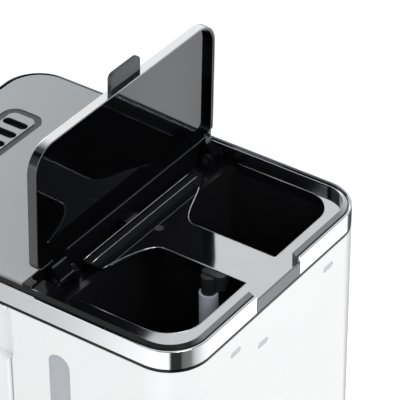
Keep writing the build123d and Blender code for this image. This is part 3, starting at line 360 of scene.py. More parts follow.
brushed("panel_silver", (0.385, 0.402, 0.420), (0.428, 0.446, 0.464), 0.34, 0.04, 0.85, 30, 0.02)
brushed("lid_silver", (0.34, 0.36, 0.38), (0.38, 0.40, 0.42), 0.30, 0.04, 0.85, 30, 0.02)
brushed("plated_steel", (0.60, 0.60, 0.61), (0.52, 0.52, 0.53), 0.28, 0.06, 1.0, 90, 0.05)
brushed("stamped_steel", (0.50, 0.50, 0.50), (0.43, 0.43, 0.43), 0.38, 0.08, 1.0, 60, 0.06)
brushed("drawn_alu", (0.62, 0.63, 0.64), (0.55, 0.56, 0.57), 0.34, 0.06, 1.0, 80, 0.05)

# Windows and glass.

clear("smoke_strip", (0.54, 0.57, 0.60), rough=0.18, ior=1.49, alpha=0.78)
clear("display_tint", (0.05, 0.06, 0.06), rough=0.06, ior=1.49, alpha=0.18)
blown_glass("jug_glass", (0.96, 0.98, 0.98))

WEARS = {
    "white_shell": ["base_housing", "rear_housing", "filter_holder"],
    "black_satin": ["base_cover", "filter_basket", "carafe_collar", "carafe_lid", "carafe_handle"],
    "deck_gloss": ["top_deck"],
    "tank_gloss": ["water_tank"],
    "rubber_black": ["feet", "cord_gland"],
    "soft_grey": ["check_valve", "drip_valve"],
    "hose_grey": ["cold_hose", "riser_hose", "brew_pipe"],
    "elbow_painted_shade": ["outlet_elbow"],
    "notch_grey": ["notch_plate"],
    "tab_grey": ["lid_tab"],
    "board_green": ["circuit_board"],
    "lid_gloss": ["lid_liner"],
    "fascia_gloss": ["fascia"],
    "key_silver": ["hour_button", "minute_button", "timer_button", "power_button"],
    "rim_mirror": ["rim_collar"],
    "rail_gloss": ["hinge_rail"],
    "band_mirror": ["chrome_band"],
    "plate_coat": ["warming_plate"],
    "panel_silver": ["top_panel"],
    "lid_silver": ["lid_shell"],
    "plated_steel": ["base_screws", "bridge_screw", "spray_head", "lid_pins", "valve_spring",
                     "carafe_screw", "carafe_band"],
    "stamped_steel": ["heater_bracket", "thermostat", "thermal_fuse", "tact_switches"],
    "drawn_alu": ["heating_element"],
    "smoke_strip": ["level_window"],
    "display_tint": ["display_window"],
    "lcd_face": ["display_module"],
    "jug_glass": ["carafe_glass"],
}


def dress_nodes():
    """Gives every CAD node its finish."""
    for finish, names in WEARS.items():
        for name in names:
            piece = nodes[name]
            piece.data.materials.clear()
            piece.data.materials.append(FINISHES[finish])


dress_nodes()


# Second finishes, and painted dark reflections and shade, each laid over a part of a piece by a mask in
# the piece's own coordinates.

PANEL_BACK_Y = 14.2 * MM
SKIRT_SOFT = 0.3 * MM
HINGE_SIDE_Y = 42.0 * MM
HINGE_SIDE_X = 93.0 * MM
HINGE_SIDE_SOFT = 0.6 * MM
FAR_WALL_START_X = -5.0 * MM
FAR_WALL_END_X = -7.0 * MM
FAR_WALL_FACING = (0.45, 0.60)
BRIGHT_EDGE_FACING = (0.72, 0.90)
BEAD_LINE_FOOT_DROP = 2.15 * MM
BEAD_LINE_HEAD_DROP = 1.50 * MM
BEAD_LINE_SOFT = 0.10 * MM
TAB_FOOT_Z = 465.0 * MM
TAB_FOOT_SOFT = 0.5 * MM


def repaint(name, mask_of, color, rough, metallic):
    """Lays a second colour, gloss and metal share over a finish where its mask is 1, as a second finish
    or as painted reflection and shade; mask_of builds the mask.
    """
    tree = FINISHES[name].node_tree
    shader = tree.nodes["Principled BSDF"]
    mask = mask_of(tree, tree.nodes.new("ShaderNodeTexCoord").outputs)
    second = (("RGBA", "Base Color", (*color, 1.0)),
              ("FLOAT", "Roughness", rough),
              ("FLOAT", "Metallic", metallic))
    for kind, label, value in second:
        socket = shader.inputs[label]
        below = socket.links[0].from_socket if socket.is_linked else socket.default_value
        tree.links.new(mix_node(tree, kind, mask, below, value), socket)


def rear_skirt(tree, texture):
    """Mask of the panel's black rear skirt, behind the last vents."""
    depth = along(tree, texture["Object"], "Y")
    return zone(tree, depth, PANEL_BACK_Y - SKIRT_SOFT, PANEL_BACK_Y)


def painted_hinge_reflection(tree, texture):
    """Mask of a painted dark reflection: the rim's chrome end by the hinge rail, painted black where it
    would mirror the black lid.
    """
    depth = along(tree, texture["Object"], "Y")
    ahead = zone(tree, depth, HINGE_SIDE_Y, HINGE_SIDE_Y - HINGE_SIDE_SOFT)
    outboard = math_node(tree, "ABSOLUTE", along(tree, texture["Object"], "X"))
    inside = zone(tree, outboard, HINGE_SIDE_X, HINGE_SIDE_X - HINGE_SIDE_SOFT)
    return math_node(tree, "MULTIPLY", ahead, inside)


def painted_far_wall_reflection(tree, texture):
    """Mask of a painted dark reflection on the rim's walls that face the filler opening or the notch
    from the far side: their chrome is painted black where it would mirror the dark tank.
    """
    facing = zone(tree, along(tree, texture["Normal"], "X"), *FAR_WALL_FACING)
    far = zone(tree, along(tree, texture["Object"], "X"), FAR_WALL_START_X, FAR_WALL_END_X)
    return math_node(tree, "MULTIPLY", facing, far)


def painted_bead_line(tree, texture):
    """Mask of a painted dark reflection line: a fine stripe of dark metal low on the rim's outer slope,
    above the band.
    """
    height = along(tree, texture["Object"], "Z")
    foot = RIM_Z - BEAD_LINE_FOOT_DROP
    head = RIM_Z - BEAD_LINE_HEAD_DROP
    above = zone(tree, height, foot, foot + BEAD_LINE_SOFT)
    below = zone(tree, height, head, head - BEAD_LINE_SOFT)
    return math_node(tree, "MULTIPLY", above, below)


def bright_edge(tree, texture):
    """Mask of the lid's plated free edge: where its wall faces away from the hinge."""
    return zone(tree, along(tree, texture["Normal"], "Z"), *BRIGHT_EDGE_FACING)


def painted_side_reflection(start, end):
    """Mask maker for painted dark reflection on the lid's side walls, by the share of their normal
    across the lid: darker steel where they would mirror the darker floor.
    """
    def mask(tree, texture):
        across = math_node(tree, "ABSOLUTE", along(tree, texture["Normal"], "X"))
        return zone(tree, across, start, end)
    return mask


def painted_tab_shade(tree, texture):
    """Mask of painted shade at the foot of the finger tab, where it meets the lid."""
    height = along(tree, texture["Object"], "Z")
    return zone(tree, height, TAB_FOOT_Z, TAB_FOOT_Z - TAB_FOOT_SOFT)


repaint("panel_silver", rear_skirt, (0.005, 0.005, 0.006), rough=0.25, metallic=0.0)
# Painted dark reflection: the rim's chrome by the hinge rail is painted black.
repaint("rim_mirror", painted_hinge_reflection, (0.005, 0.005, 0.006), rough=0.12, metallic=0.0)
# Painted dark reflection: the rim's far inner walls are painted black.
repaint("rim_mirror", painted_far_wall_reflection, (0.004, 0.004, 0.005), rough=0.12, metallic=0.0)
# Painted dark reflection: a fine dark metal line on the rim's outer slope.
repaint("rim_mirror", painted_bead_line, (0.11, 0.115, 0.12), rough=0.10, metallic=1.0)
repaint("lid_silver", bright_edge, (0.88, 0.89, 0.90), rough=0.16, metallic=1.0)
# Painted dark reflection of the floor on the lid's side walls: near black where they turn, mid steel
# where they face straight out.
repaint("lid_silver", painted_side_reflection(0.50, 0.62), (0.020, 0.022, 0.024), rough=0.22, metallic=0.9)
repaint("lid_silver", painted_side_reflection(0.86, 0.95), (0.105, 0.115, 0.120), rough=0.22, metallic=0.9)
# Painted shade: a dark band at the foot of the finger tab.
repaint("tab_grey", painted_tab_shade, (0.008, 0.009, 0.010), rough=0.18, metallic=0.0)


# Surfaces worked out with numpy.

def rounded_loop(half_a, half_b, radius, steps):
    """Rounded rectangle round (0, 0): quarter arcs of one radius about four inner corners.

    Gives its points and its outward normals, each an array of (a, b) rows."""
    quarter = np.linspace(0.0, np.pi / 2, steps)
    angle = np.concatenate([quarter + turn * np.pi / 2 for turn in range(4)])
    normal = np.stack([np.cos(angle), np.sin(angle)], 1)
    corner = np.repeat([[1, 1], [-1, 1], [-1, -1], [1, -1]], steps, axis=0)
    middle = corner * np.array([half_a - radius, half_b - radius])
    return middle + radius * normal, normal


def circle_loop(radius, steps):
    """Circle round (0, 0): radius times the cosine and sine of an even turn, with its normals."""
    angle = np.linspace(0.0, 2 * np.pi, steps, endpoint=False)
    normal = np.stack([np.cos(angle), np.sin(angle)], 1)
    return radius * normal, normal


def soft_power(value, power):
    """The size of a value raised to a power, with the sign of the value kept."""
    return np.sign(value) * np.abs(value) ** power


def oval_profile(half_wide, half_high, power, steps):
    """Closed superellipse section: each half width times the signed power of cosine or sine."""
    angle = np.linspace(0.0, 2 * np.pi, steps, endpoint=False)
    wide = half_wide * soft_power(np.cos(angle), power)
    high = half_high * soft_power(np.sin(angle), power)
    return np.stack([wide, high], 1)


def pillow(half_a, half_b, half_h, power, rows, cols):
    """Superellipsoid: latitude shrinks the outline, and every sine and cosine takes one power."""
    lat = np.linspace(-np.pi / 2, np.pi / 2, rows + 2)[1:-1, None]
    lon = np.linspace(0.0, 2 * np.pi, cols, endpoint=False)[None, :]
    a = half_a * soft_power(np.cos(lat), power) * soft_power(np.cos(lon), power)
    b = half_b * soft_power(np.cos(lat), power) * soft_power(np.sin(lon), power)
    h = half_h * soft_power(np.sin(lat), power) * np.ones_like(lon)
    return np.stack([a, b, h], 2)


def carried_section(points, normals, section, height):
    """A section carried along a line in plan: point plus normal times width, at its height."""
    flat = points[:, None, :] + normals[:, None, :] * section[None, :, 0:1]
    high = np.broadcast_to(section[None, :, 1:2] + height, flat.shape[:2] + (1,))
    return np.concatenate([flat, high], 2)


def carried_ring(loop, section, height):
    """A section carried round a closed loop of points and their normals."""
    points, normals = loop
    return carried_section(points, normals, section, height)


def swept_line(path, section, height):
    """A section carried along an open path, whose normal is its heading turned to the right."""
    ahead = np.gradient(path, axis=0)
    ahead /= np.linalg.norm(ahead, axis=1)[:, None]
    side = np.stack([ahead[:, 1], -ahead[:, 0]], 1)
    return carried_section(path, side, section, height)


def corner_path(corners, radii, steps):
    """Open path through square corners, each a quarter arc: centre plus radius times cosine, sine."""
    runs = [np.array([corners[0]], float)]
    for before, corner, after, radius in zip(corners[:-2], corners[1:-1], corners[2:], radii):
        before, corner, after = (np.array(point, float) for point in (before, corner, after))
        way_in = (corner - before) / np.linalg.norm(corner - before)
        way_out = (after - corner) / np.linalg.norm(after - corner)
        turn = np.sign(way_in[0] * way_out[1] - way_in[1] * way_out[0])
        side = turn * np.array([-way_in[1], way_in[0]])
        centre = corner - way_in * radius + side * radius
        angle = np.linspace(0.0, np.pi / 2, steps)[:, None]
        runs.append(centre - side * radius * np.cos(angle) + way_in * radius * np.sin(angle))
    runs.append(np.array([corners[-1]], float))
    return np.concatenate(runs)


def bezier(start, pull_a, pull_b, end, steps):
    """Cubic curve from start to end, pulled by two points: the four Bernstein weights."""
    t = np.linspace(0.0, 1.0, steps)[:, None]
    points = [np.array(point, float) for point in (start, pull_a, pull_b, end)]
    weights = ((1 - t) ** 3, 3 * t * (1 - t) ** 2, 3 * t ** 2 * (1 - t), t ** 3)
    return sum(weight * point for weight, point in zip(weights, points))


def flat_on(grid, origin, a_axis, b_axis, h_axis):
    """Turns a grid of (a, b, h) into the frame: origin plus each number times its own axis."""
    axes = np.array([a_axis, b_axis, h_axis], float)
    return np.array(origin, float) + grid @ axes


def grid_quads(rows, cols, start, closed):
    """Quads of a grid whose columns close up; its rows close up too, or both ends are capped."""
    r, c = np.meshgrid(np.arange(rows if closed else rows - 1), np.arange(cols), indexing="ij")
    here = r * cols + c
    right = r * cols + (c + 1) % cols
    above = ((r + 1) % rows) * cols + c
    across = ((r + 1) % rows) * cols + (c + 1) % cols
    quads = (np.stack([here, right, across, above], -1).reshape(-1, 4) + start).tolist()
    if not closed:
        quads.append((np.arange(cols)[::-1] + start).tolist())
        quads.append((np.arange(cols) + (rows - 1) * cols + start).tolist())
    return quads


def corner_places(mesh):
    """The vertices of a mesh as an array of (x, y, z) rows."""
    places = np.zeros(len(mesh.vertices) * 3)
    mesh.vertices.foreach_get("co", places)
    return places.reshape(-1, 3)


def signed_volume(mesh):
    """Sixth of the triple products of each triangle's corners, summed."""
    mesh.calc_loop_triangles()
    triangles = np.zeros(len(mesh.loop_triangles) * 3, np.int32)
    mesh.loop_triangles.foreach_get("vertices", triangles)
    a, b, c = corner_places(mesh)[triangles.reshape(-1, 3)].transpose(1, 0, 2)
    return float(np.einsum("ij,ij->i", a, np.cross(b, c)).sum() / 6)


def make_piece(name, grids, finish, body, closed=True):
    """One mesh from one or more grids in metres, faces turned outwards, riding on its body."""
    corners = np.concatenate([grid.reshape(-1, 3) for grid in grids])
    faces = []
    start = 0
    for grid in grids:
        faces += grid_quads(grid.shape[0], grid.shape[1], start, closed)
        start += grid.shape[0] * grid.shape[1]
    mesh = bpy.data.meshes.new(name)
    mesh.from_pydata(corners.tolist(), [], faces)
    if signed_volume(mesh) < 0.0:
        mesh.flip_normals()
    mesh.polygons.foreach_set("use_smooth", [True] * len(mesh.polygons))
    mesh.update()
    piece = bpy.data.objects.new(name, mesh)
    bpy.context.collection.objects.link(piece)
    mesh.materials.append(FINISHES[finish])
    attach(piece, body)
    return piece


def span(node):
    """Lowest and highest corner of a CAD node, as two arrays."""
    low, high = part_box(node)
    return np.array(low), np.array(high)


# The top: vents, lips of the openings and of the rail, overflow marks.

VENT_COUNT = 7
VENT_PITCH = 12.4 * MM
VENT_Y = -98.0 * MM
GROOVE_HALVES = (50.5 * MM, 13.0 * MM)
GROOVE_RADIUS = 7.75 * MM
SHADE_RING_HALVES = (2.2 * MM, 0.14 * MM)
SHADE_RING_DROP = 0.78 * MM
SLOT_HALVES = (3.42 * MM, 9.67 * MM)
SLOT_RADIUS = 3.4 * MM
COLLAR_HALVES = (0.10 * MM, 1.1 * MM)
COLLAR_DROP = 1.25 * MM
TRAY_HALVES = (47.0 * MM, 12.0 * MM, 1.2 * MM)
TRAY_DROP = 4.6 * MM


def vent_shade_trim():
    """Painted shade in the vents: a dark ring in the groove, a dark collar in each slot and a dark tray
    beneath, standing in for the shade inside them.

    Ring and collars are ovals carried round rounded rectangles; the tray is a superellipsoid."""
    top = span("top_panel")[1][2]
    groove = rounded_loop(*GROOVE_HALVES, GROOVE_RADIUS, steps=10)
    shade_ring_section = oval_profile(*SHADE_RING_HALVES, power=0.5, steps=16)
    ring = carried_ring(groove, shade_ring_section, top - SHADE_RING_DROP) + np.array([0.0, VENT_Y, 0.0])
    make_piece("vent_groove_shade_ring", [ring], "groove_painted_shade", "machine")
    slot_loop = rounded_loop(*SLOT_HALVES, SLOT_RADIUS, steps=8)
    wall = oval_profile(*COLLAR_HALVES, power=0.4, steps=12)
    collar = carried_ring(slot_loop, wall, top - COLLAR_DROP)
    shifts = (np.arange(VENT_COUNT) - (VENT_COUNT - 1) / 2) * VENT_PITCH
    collars = [collar + np.array([shift, VENT_Y, 0.0]) for shift in shifts]
    make_piece("vent_shade_collars", collars, "vent_painted_shade", "machine")
    # The tray is a dark sheet of painted shade under the vents.
    tray = pillow(*TRAY_HALVES, power=0.25, rows=14, cols=64)
    tray += np.array([0.0, VENT_Y, top - TRAY_DROP])
    make_piece("vent_shade_tray", [tray], "vent_painted_shade", "machine", closed=False)


LIP_HALVES = (0.30 * MM, 0.22 * MM)
LIP_SECTION = oval_profile(*LIP_HALVES, power=1.0, steps=12)
LEDGE_LIP_SINK = 0.12 * MM
RAIL_LIP_SINK = 0.10 * MM
FLARE_STEPS = 26
RAIL_STEPS = 12

# The lines of the lips, drawn in millimetres and brought to metres when they are swept.
OPENING_FRONT_Y = 44.5
OPENING_REAR_Y = 122.0
BRIDGE_CORNER_RADIUS = 1.2
BRIDGE_END_Y = 61.0
FLARE_START_Y = 60.0
RAIL_EDGES_Y = (24.75, 30.9)
RAIL_ENDS_X = (-69.0, 50.0)

# Each opening in millimetres: X of its outer edge and of the bridge's edge, corner radius, steps
# of an arc, and the two pulls and the end of the flare's curve.
OPENINGS = (
    (-91.5, -19.8, 20, 12, ((-19.8, 49), (-42, 46), (-56, 38.6))),
    (84.5, 11.4, 25, 14, ((11.4, 52), (22, 46.5), (50, 40.0))),
)


def opening_lip(edge_x, bridge_x, radius, steps, flare):
    """Line round one opening to the bridge, and on along the cubic curve of the bridge's flare."""
    corners = [(edge_x, OPENING_FRONT_Y), (edge_x, OPENING_REAR_Y),
               (bridge_x, OPENING_REAR_Y), (bridge_x, BRIDGE_END_Y)]
    edge = corner_path(corners, (radius, BRIDGE_CORNER_RADIUS), steps)
    return np.concatenate([edge, bezier((bridge_x, FLARE_START_Y), *flare, FLARE_STEPS)])


def ledge_highlight_lips():
    """Rounded lips along the edges of the two openings and the bridge's flare: real edge fillets, in a
    brighter chrome than the ledge as painted highlights.

    Each is an oval carried along straight runs, quarter arcs and a cubic curve."""
    lines = [opening_lip(*opening) * MM for opening in OPENINGS]
    grids = [swept_line(line, LIP_SECTION, LEDGE_Z - LEDGE_LIP_SINK) for line in lines]
    make_piece("ledge_highlight_lips", grids, "highlight_lip_mirror", "machine", closed=False)


def rail_highlight_lips():
    """Two fine beads along the edges of the black hinge rail, in bright chrome as painted highlights: an
    oval carried along a line.
    """
    grids = []
    for depth in RAIL_EDGES_Y:
        run = np.stack([np.linspace(*RAIL_ENDS_X, RAIL_STEPS), np.full(RAIL_STEPS, depth)], 1) * MM
        grids.append(swept_line(run, LIP_SECTION, LEDGE_Z - RAIL_LIP_SINK))
    make_piece("rail_highlight_lips", grids, "highlight_lip_mirror", "machine", closed=False)


# Each overflow mark in millimetres: its X and its drop below the rim.
OVERFLOW_MARKS = ((-57, 29), (17, 42), (47, 30))
OVERFLOW_FLOOR_Y = 137.42 * MM
PAD_HALVES = (5.2 * MM, 2.0 * MM, 0.22 * MM)


def overflow_pads():
    """Grey pads on the floors of the three overflow marks: superellipsoids laid on the wall."""
    pad = pillow(*PAD_HALVES, power=0.5, rows=8, cols=40)
    pads = []
    for across, drop in OVERFLOW_MARKS:
        place = (across * MM, OVERFLOW_FLOOR_Y, RIM_Z - drop * MM)
        pads.append(flat_on(pad, place, BACK_X, Z, Y))
    make_piece("overflow_pads", pads, "mark_grey", "machine", closed=False)


# The valve's spring and the ring round the warming plate.

WIRE_RADIUS = 0.45 * MM
COIL_TURNS = 4
STEPS_PER_TURN = 40
WIRE_STEPS = 12
PLATE_RING_MARGIN = 2.4 * MM
PLATE_RING_HALVES = (1.3 * MM, 0.45 * MM)
PLATE_RING_DROP = 0.4 * MM


def spring_coil():
    """Valve spring: a wire circle carried up a helix, closed at both ends, squeezed by the valve."""
    low, high = span("valve_spring")
    middle = (low + high) / 2
    coil_radius = (high[0] - low[0]) / 2 - WIRE_RADIUS
    run = np.linspace(0.0, 1.0, COIL_TURNS * STEPS_PER_TURN + 1)[:, None]
    lap = 2 * np.pi * COIL_TURNS * run
    ring = np.linspace(0.0, 2 * np.pi, WIRE_STEPS, endpoint=False)[None, :]
    out = coil_radius + WIRE_RADIUS * np.cos(ring)
    rise = high[2] - low[2] - 2 * WIRE_RADIUS
    height = low[2] + WIRE_RADIUS + rise * run + WIRE_RADIUS * np.sin(ring)
    coil = np.stack([middle[0] + out * np.cos(lap), middle[1] + out * np.sin(lap), height], 2)
    piece = make_piece("valve_coil", [coil], "plated_steel", "holder", closed=False)
    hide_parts("valve_spring")
    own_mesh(piece)


def plate_trim():
    """Bright ring let into the base round the warming plate: an oval carried round a circle."""
    low, high = span("warming_plate")
    middle = (low + high) / 2
    loop = circle_loop(high[0] - middle[0] + PLATE_RING_MARGIN, steps=96)
    section = oval_profile(*PLATE_RING_HALVES, power=0.7, steps=14)
    ring = carried_ring(loop, section, 0.0)
    ring += np.array([middle[0], middle[1], high[2] - PLATE_RING_DROP])
    make_piece("plate_ring", [ring], "plated_steel", "machine")


# The control plate and its display.

FRAME_INSET = 0.4 * MM
FRAME_RADIUS = 4.6 * MM
FRAME_PROUD = 0.05 * MM
FRAME_HALVES = (0.55 * MM, 0.35 * MM)
POWER_RING_RADIUS = 8.2 * MM
POWER_RING_HALVES = (0.45 * MM, 0.3 * MM)


def fascia_trim():
    """Bright frame round the control plate and a blue ring round the power key.

    They are ovals carried round a rounded rectangle and round a circle."""
    low, high = span("fascia")
    middle = (low + high) / 2
    half = (high - low) / 2 - FRAME_INSET
    front = low[1] - FRAME_PROUD
    section = oval_profile(*FRAME_HALVES, power=0.8, steps=12)
    edge = carried_ring(rounded_loop(half[0], half[2], FRAME_RADIUS, steps=10), section, 0.0)
    edge = flat_on(edge, (middle[0], front, middle[2]), X, Z, FRONT)
    make_piece("fascia_frame", [edge], "key_silver", "machine")
    key = sum(span("power_button")) / 2
    section = oval_profile(*POWER_RING_HALVES, power=0.8, steps=12)
    halo = carried_ring(circle_loop(POWER_RING_RADIUS, steps=64), section, 0.0)
    halo = flat_on(halo, (key[0], front, key[2]), X, Z, FRONT)
    make_piece("power_ring", [halo], "ring_glow", "machine")


# Each bar of a digit: its place across and up in half digits, and whether it lies level.
SEGMENTS = {
    "top": (0.0, 1.0, True), "middle": (0.0, 0.0, True), "bottom": (0.0, -1.0, True),
    "upper_left": (-1.0, 0.5, False), "upper_right": (1.0, 0.5, False),
    "lower_left": (-1.0, -0.5, False), "lower_right": (1.0, -0.5, False),
}
DIGITS = {
    0: ("top", "bottom", "upper_left", "upper_right", "lower_left", "lower_right"),
    1: ("upper_right", "lower_right"),
    2: ("top", "middle", "bottom", "upper_right", "lower_left"),
}

# The time shown: each digit and its place across in millimetres.
SHOWN_TIME = ((1, -10.2), (2, -4.2), (0, 4.2), (0, 10.2))
DIGIT_PROUD = 0.06 * MM
DIGIT_HALF_WIDE = 1.9 * MM
DIGIT_HALF_HIGH = 3.7 * MM
DIGIT_LEAN = 0.08
BAR_HALF_THICK = 0.45 * MM
BAR_HALF_DEEP = 0.10 * MM
LEVEL_BAR_SHARE = 0.8
UPRIGHT_BAR_SHARE = 0.43
COLON_HEIGHTS = (-0.4, 0.4)
DOT_HALF = 0.5 * MM


def digit_bar(label, cell):
    """One bar of a digit: a flat superellipsoid at its place in the leaning cell."""
    across, up, level = SEGMENTS[label]
    if level:
        halves = (DIGIT_HALF_WIDE * LEVEL_BAR_SHARE, BAR_HALF_THICK)
    else:
        halves = (BAR_HALF_THICK, DIGIT_HALF_HIGH * UPRIGHT_BAR_SHARE)
    bar = pillow(*halves, BAR_HALF_DEEP, power=0.35, rows=6, cols=16)
    bar[:, :, 0] += cell * MM + across * DIGIT_HALF_WIDE + DIGIT_LEAN * up * DIGIT_HALF_HIGH
    bar[:, :, 1] += up * DIGIT_HALF_HIGH
    return bar


def display_digits():
    """Time on the display in bars, with the two dots of its colon."""
    low, high = span("display_module")
    bars = [digit_bar(label, cell) for digit, cell in SHOWN_TIME for label in DIGITS[digit]]
    for up in COLON_HEIGHTS:
        dot = pillow(DOT_HALF, DOT_HALF, BAR_HALF_DEEP, power=0.6, rows=6, cols=16)
        dot[:, :, 1] += up * DIGIT_HALF_HIGH
        bars.append(dot)
    middle = (low + high) / 2
    place = (middle[0], low[1] - DIGIT_PROUD, middle[2])
    grids = [flat_on(bar, place, X, Z, FRONT) for bar in bars]
    make_piece("display_digits", grids, "digit_ink", "machine", closed=False)


# The measuring lines of the jug.

MARK_HEIGHTS = np.linspace(70, 126, 8) * MM
MARK_BAND = 4 * MM
MARK_PROUD = 0.02 * MM
MARK_HALVES = (0.14 * MM, 0.5 * MM)
MARK_REACHES = (5.0 * MM, 9.0 * MM)
MARK_STEPS = 13
MARK_TURN = np.radians(-12)


def radius_near(node, height, centre, band):
    """Largest distance from a vertical line among a node's corners near a height."""
    places = corner_places(nodes[node].data)
    near = places[np.abs(places[:, 2] - height) < band]
    return float(np.hypot(near[:, 0] - centre[0], near[:, 1] - centre[1]).max())


def jug_marks():
    """Measuring lines on the jug, short and long in turn: an oval carried along an arc on its wall."""
    low, high = span("carafe_glass")
    centre = (low[:2] + high[:2]) / 2
    section = oval_profile(*MARK_HALVES, power=0.7, steps=12)
    lines = []
    for index, height in enumerate(MARK_HEIGHTS):
        radius = radius_near("carafe_glass", height, centre, MARK_BAND) + MARK_PROUD
        reach = MARK_REACHES[index % 2] / radius
        angle = (np.linspace(-reach, reach, MARK_STEPS) + MARK_TURN)[:, None]
        out = radius + section[None, :, 0]
        x = centre[0] + out * np.cos(angle)
        y = centre[1] + out * np.sin(angle)
        z = height + np.broadcast_to(section[None, :, 1], x.shape)
        lines.append(np.stack([x, y, z], 2))
    make_piece("jug_marks", lines, "mark_white", "carafe", closed=False)


vent_shade_trim()
ledge_highlight_lips()
rail_highlight_lips()
overflow_pads()
spring_coil()
plate_trim()
fascia_trim()
display_digits()
jug_marks()


# Stage: floor, lamps, world and camera.

WHITE = (1, 1, 1, 1)
FLOOR_HALF = 6.0
PAPER_TONE = 0.80
PAPER_GLOW = 0.45
PAPER_ROUGH = 0.9

# Tones of the floor as polished faces see it, by compass turn: 0 at -X, on by way of -Y, to 1.
FLOOR_TONES = ((0.00, 0.10), (0.03, 0.30), (0.11, 0.30), (0.17, 0.75), (0.30, 0.80), (0.40, 0.50),
               (0.424, 0.58), (0.447, 0.96), (0.600, 1.00),
               (0.612, 0.01), (0.664, 0.01), (0.675, 0.12), (0.720, 0.17), (0.745, 0.50), (0.80, 0.85),
               (0.86, 1.05), (0.905, 1.35), (0.913, 1.25), (0.925, 0.25), (0.94, 0.05), (1.00, 0.10))

FILL = 0.66
CEILING = 0.03
BOX_FADE = 1.3
HORIZON_TOP = 0.22
HORIZON_DEPTH = 0.12

# Each soft box: the way to it, the cosine at its edge and its level.
SOFT_BOXES = (((-0.78, -0.49, 0.39), 0.45, 0.92), ((0.30, 0.78, 0.55), 0.62, 0.50))

# The camera, as calibrated on the photograph: angles in degrees, place in metres.
CAMERA_YAW = 35.25
CAMERA_PITCH = 35.63
CAMERA_ROLL = -0.3
CAMERA_PLACE = (1.102, 0.8575, RIM_Z + 1.0)
FOCAL_PIXELS = 2680.0
PHOTO_PIXELS = 400.0
SENSOR_WIDTH = 36.0
VIEW_DEPTH = 30.0


def see_white(tree):
    """1 for camera, mirror and glass rays, else 0."""
    path = tree.nodes.new("ShaderNodeLightPath")
    seen = math_node(tree, "MAXIMUM", path.outputs["Is Camera Ray"], path.outputs["Is Glossy Ray"])
    return math_node(tree, "MAXIMUM", seen, path.outputs["Is Transmission Ray"])


def mirrored_floor(tree, coords):
    """Level of the floor round the compass as polished faces see it; 1 for all other rays."""
    angle = math_node(tree, "ARCTAN2", along(tree, coords, "Y"), along(tree, coords, "X"))
    turn = math_node(tree, "MULTIPLY_ADD", angle, 1.0 / (2 * math.pi), 0.5)
    ramp = tree.nodes.new("ShaderNodeValToRGB")
    tree.links.new(turn, ramp.inputs["Fac"])
    stops = ramp.color_ramp.elements
    stops[0].position = FLOOR_TONES[0][0]
    stops[1].position = FLOOR_TONES[-1][0]
    for place, _ in FLOOR_TONES[1:-1]:
        stops.new(place)
    for stop, (_, tone) in zip(stops, FLOOR_TONES):
        stop.color = (tone, tone, tone, 1.0)
    glossy = tree.nodes.new("ShaderNodeLightPath").outputs["Is Glossy Ray"]
    drop = math_node(tree, "SUBTRACT", 1.0, ramp.outputs["Color"])
    share = math_node(tree, "MULTIPLY", drop, glossy)
    return math_node(tree, "SUBTRACT", 1.0, share)


def build_floor():
    """Large plain pale floor that shows white and keeps a soft shadow."""
    half = FLOOR_HALF
    corners = [(-half, -half, 0), (half, -half, 0), (half, half, 0), (-half, half, 0)]
    mesh = bpy.data.meshes.new("studio_floor")
    mesh.from_pydata(corners, [], [(0, 1, 2, 3)])
    floor = bpy.data.objects.new("studio_floor", mesh)
    bpy.context.collection.objects.link(floor)
    paper = (PAPER_TONE, PAPER_TONE, PAPER_TONE)
    tree, shader, coords = start_material("studio_paper", paper, PAPER_ROUGH)
    shader.inputs["Emission Color"].default_value = WHITE
    level = mirrored_floor(tree, coords)
    tone = math_node(tree, "MULTIPLY", level, PAPER_TONE)
    tree.links.new(tone, shader.inputs["Base Color"])
    glow = math_node(tree, "MULTIPLY", see_white(tree), PAPER_GLOW)
    glow = math_node(tree, "MULTIPLY", glow, level)
    tree.links.new(glow, shader.inputs["Emission Strength"])
    mesh.materials.append(FINISHES["studio_paper"])


def soft_box(tree, way, aim, edge, level):
    """Light that fades from the middle of a box: how near a ray comes to its aim, raised."""
    dot = tree.nodes.new("ShaderNodeVectorMath")
    dot.operation = "DOT_PRODUCT"
    dot.inputs[1].default_value = aim
    tree.links.new(way, dot.inputs[0])
    near = math_node(tree, "SUBTRACT", dot.outputs["Value"], edge)
    share = math_node(tree, "DIVIDE", near, 1.0 - edge, clamp=True)
    fade = math_node(tree, "POWER", share, BOX_FADE)
    return math_node(tree, "MULTIPLY", fade, level)


def mirror_sky(tree):
    """Level that mirrors see: soft boxes under a dark ceiling, and white at the horizon."""
    way = tree.nodes.new("ShaderNodeTexCoord").outputs["Generated"]
    total = CEILING
    for aim, edge, level in SOFT_BOXES:
        total = math_node(tree, "ADD", soft_box(tree, way, aim, edge, level), total)
    rise = math_node(tree, "SUBTRACT", HORIZON_TOP, along(tree, way, "Z"))
    horizon = math_node(tree, "DIVIDE", rise, HORIZON_DEPTH, clamp=True)
    return math_node(tree, "MAXIMUM", total, horizon)


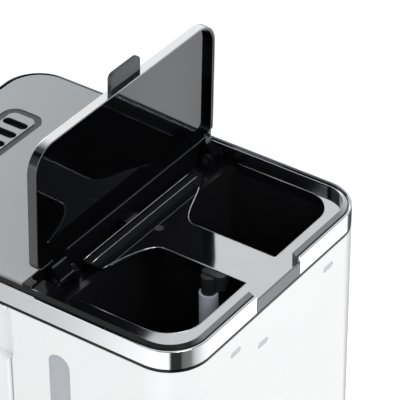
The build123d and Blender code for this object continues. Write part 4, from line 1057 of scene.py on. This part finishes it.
def build_world():
    """White for camera and glass rays, the mirror sky for mirror rays, a fill for diffuse rays."""
    world = bpy.data.worlds.new("studio_world")
    world.use_nodes = True
    tree = world.node_tree
    back = tree.nodes["Background"]
    back.inputs["Color"].default_value = WHITE
    path = tree.nodes.new("ShaderNodeLightPath")
    seen = math_node(tree, "MAXIMUM", path.outputs["Is Camera Ray"], path.outputs["Is Transmission Ray"])
    sky = math_node(tree, "MULTIPLY", path.outputs["Is Glossy Ray"], mirror_sky(tree))
    diffuse = math_node(tree, "MULTIPLY", path.outputs["Is Diffuse Ray"], FILL)
    total = math_node(tree, "ADD", sky, diffuse)
    strength = math_node(tree, "MAXIMUM", seen, total)
    tree.links.new(strength, back.inputs["Strength"])
    bpy.context.scene.world = world


def look_matrix(place, forward, roll):
    """Matrix of an object at a place whose -Z looks forward, rolled about it."""
    ahead = np.array(forward, float)
    right = np.cross(ahead, (0, 0, 1))
    right /= np.linalg.norm(right)
    up = np.cross(right, ahead)
    x_axis = math.cos(roll) * right + math.sin(roll) * up
    y_axis = -math.sin(roll) * right + math.cos(roll) * up
    columns = np.array([x_axis, y_axis, -ahead]).T
    matrix = Matrix(columns.tolist()).to_4x4()
    matrix.translation = place
    return matrix


def area_lamp(name, place, aim, size, watts):
    """Soft square lamp at a place, turned to its aim."""
    data = bpy.data.lights.new(name, "AREA")
    data.size = size
    data.energy = watts
    lamp = bpy.data.objects.new(name, data)
    bpy.context.collection.objects.link(lamp)
    forward = np.array(aim, float) - np.array(place, float)
    lamp.matrix_world = look_matrix(place, forward / np.linalg.norm(forward), 0.0)


def build_camera():
    """Camera at the photograph's angle, from the calibrated yaw, pitch, roll and focal length."""
    yaw, pitch, roll = (math.radians(angle) for angle in (CAMERA_YAW, CAMERA_PITCH, CAMERA_ROLL))
    forward = (-math.cos(yaw) * math.cos(pitch), -math.sin(yaw) * math.cos(pitch), -math.sin(pitch))
    data = bpy.data.cameras.new("camera")
    data.sensor_width = SENSOR_WIDTH
    data.lens = SENSOR_WIDTH * FOCAL_PIXELS / PHOTO_PIXELS
    data.clip_end = VIEW_DEPTH
    camera = bpy.data.objects.new("camera", data)
    bpy.context.collection.objects.link(camera)
    camera.matrix_world = look_matrix(CAMERA_PLACE, forward, roll)
    bpy.context.scene.camera = camera


build_floor()
build_world()
area_lamp("key_lamp", (0.6, 1.6, 1.9), (0, 0, 0.3), size=1.2, watts=24.0)
area_lamp("side_lamp", (1.9, -0.5, 1.3), (0, 0, 0.3), size=1.4, watts=10.0)
area_lamp("front_lamp", (-0.9, -2.0, 1.2), (0, 0, 0.2), size=1.4, watts=7.0)
build_camera()
bpy.context.scene.view_settings.view_transform = "Standard"
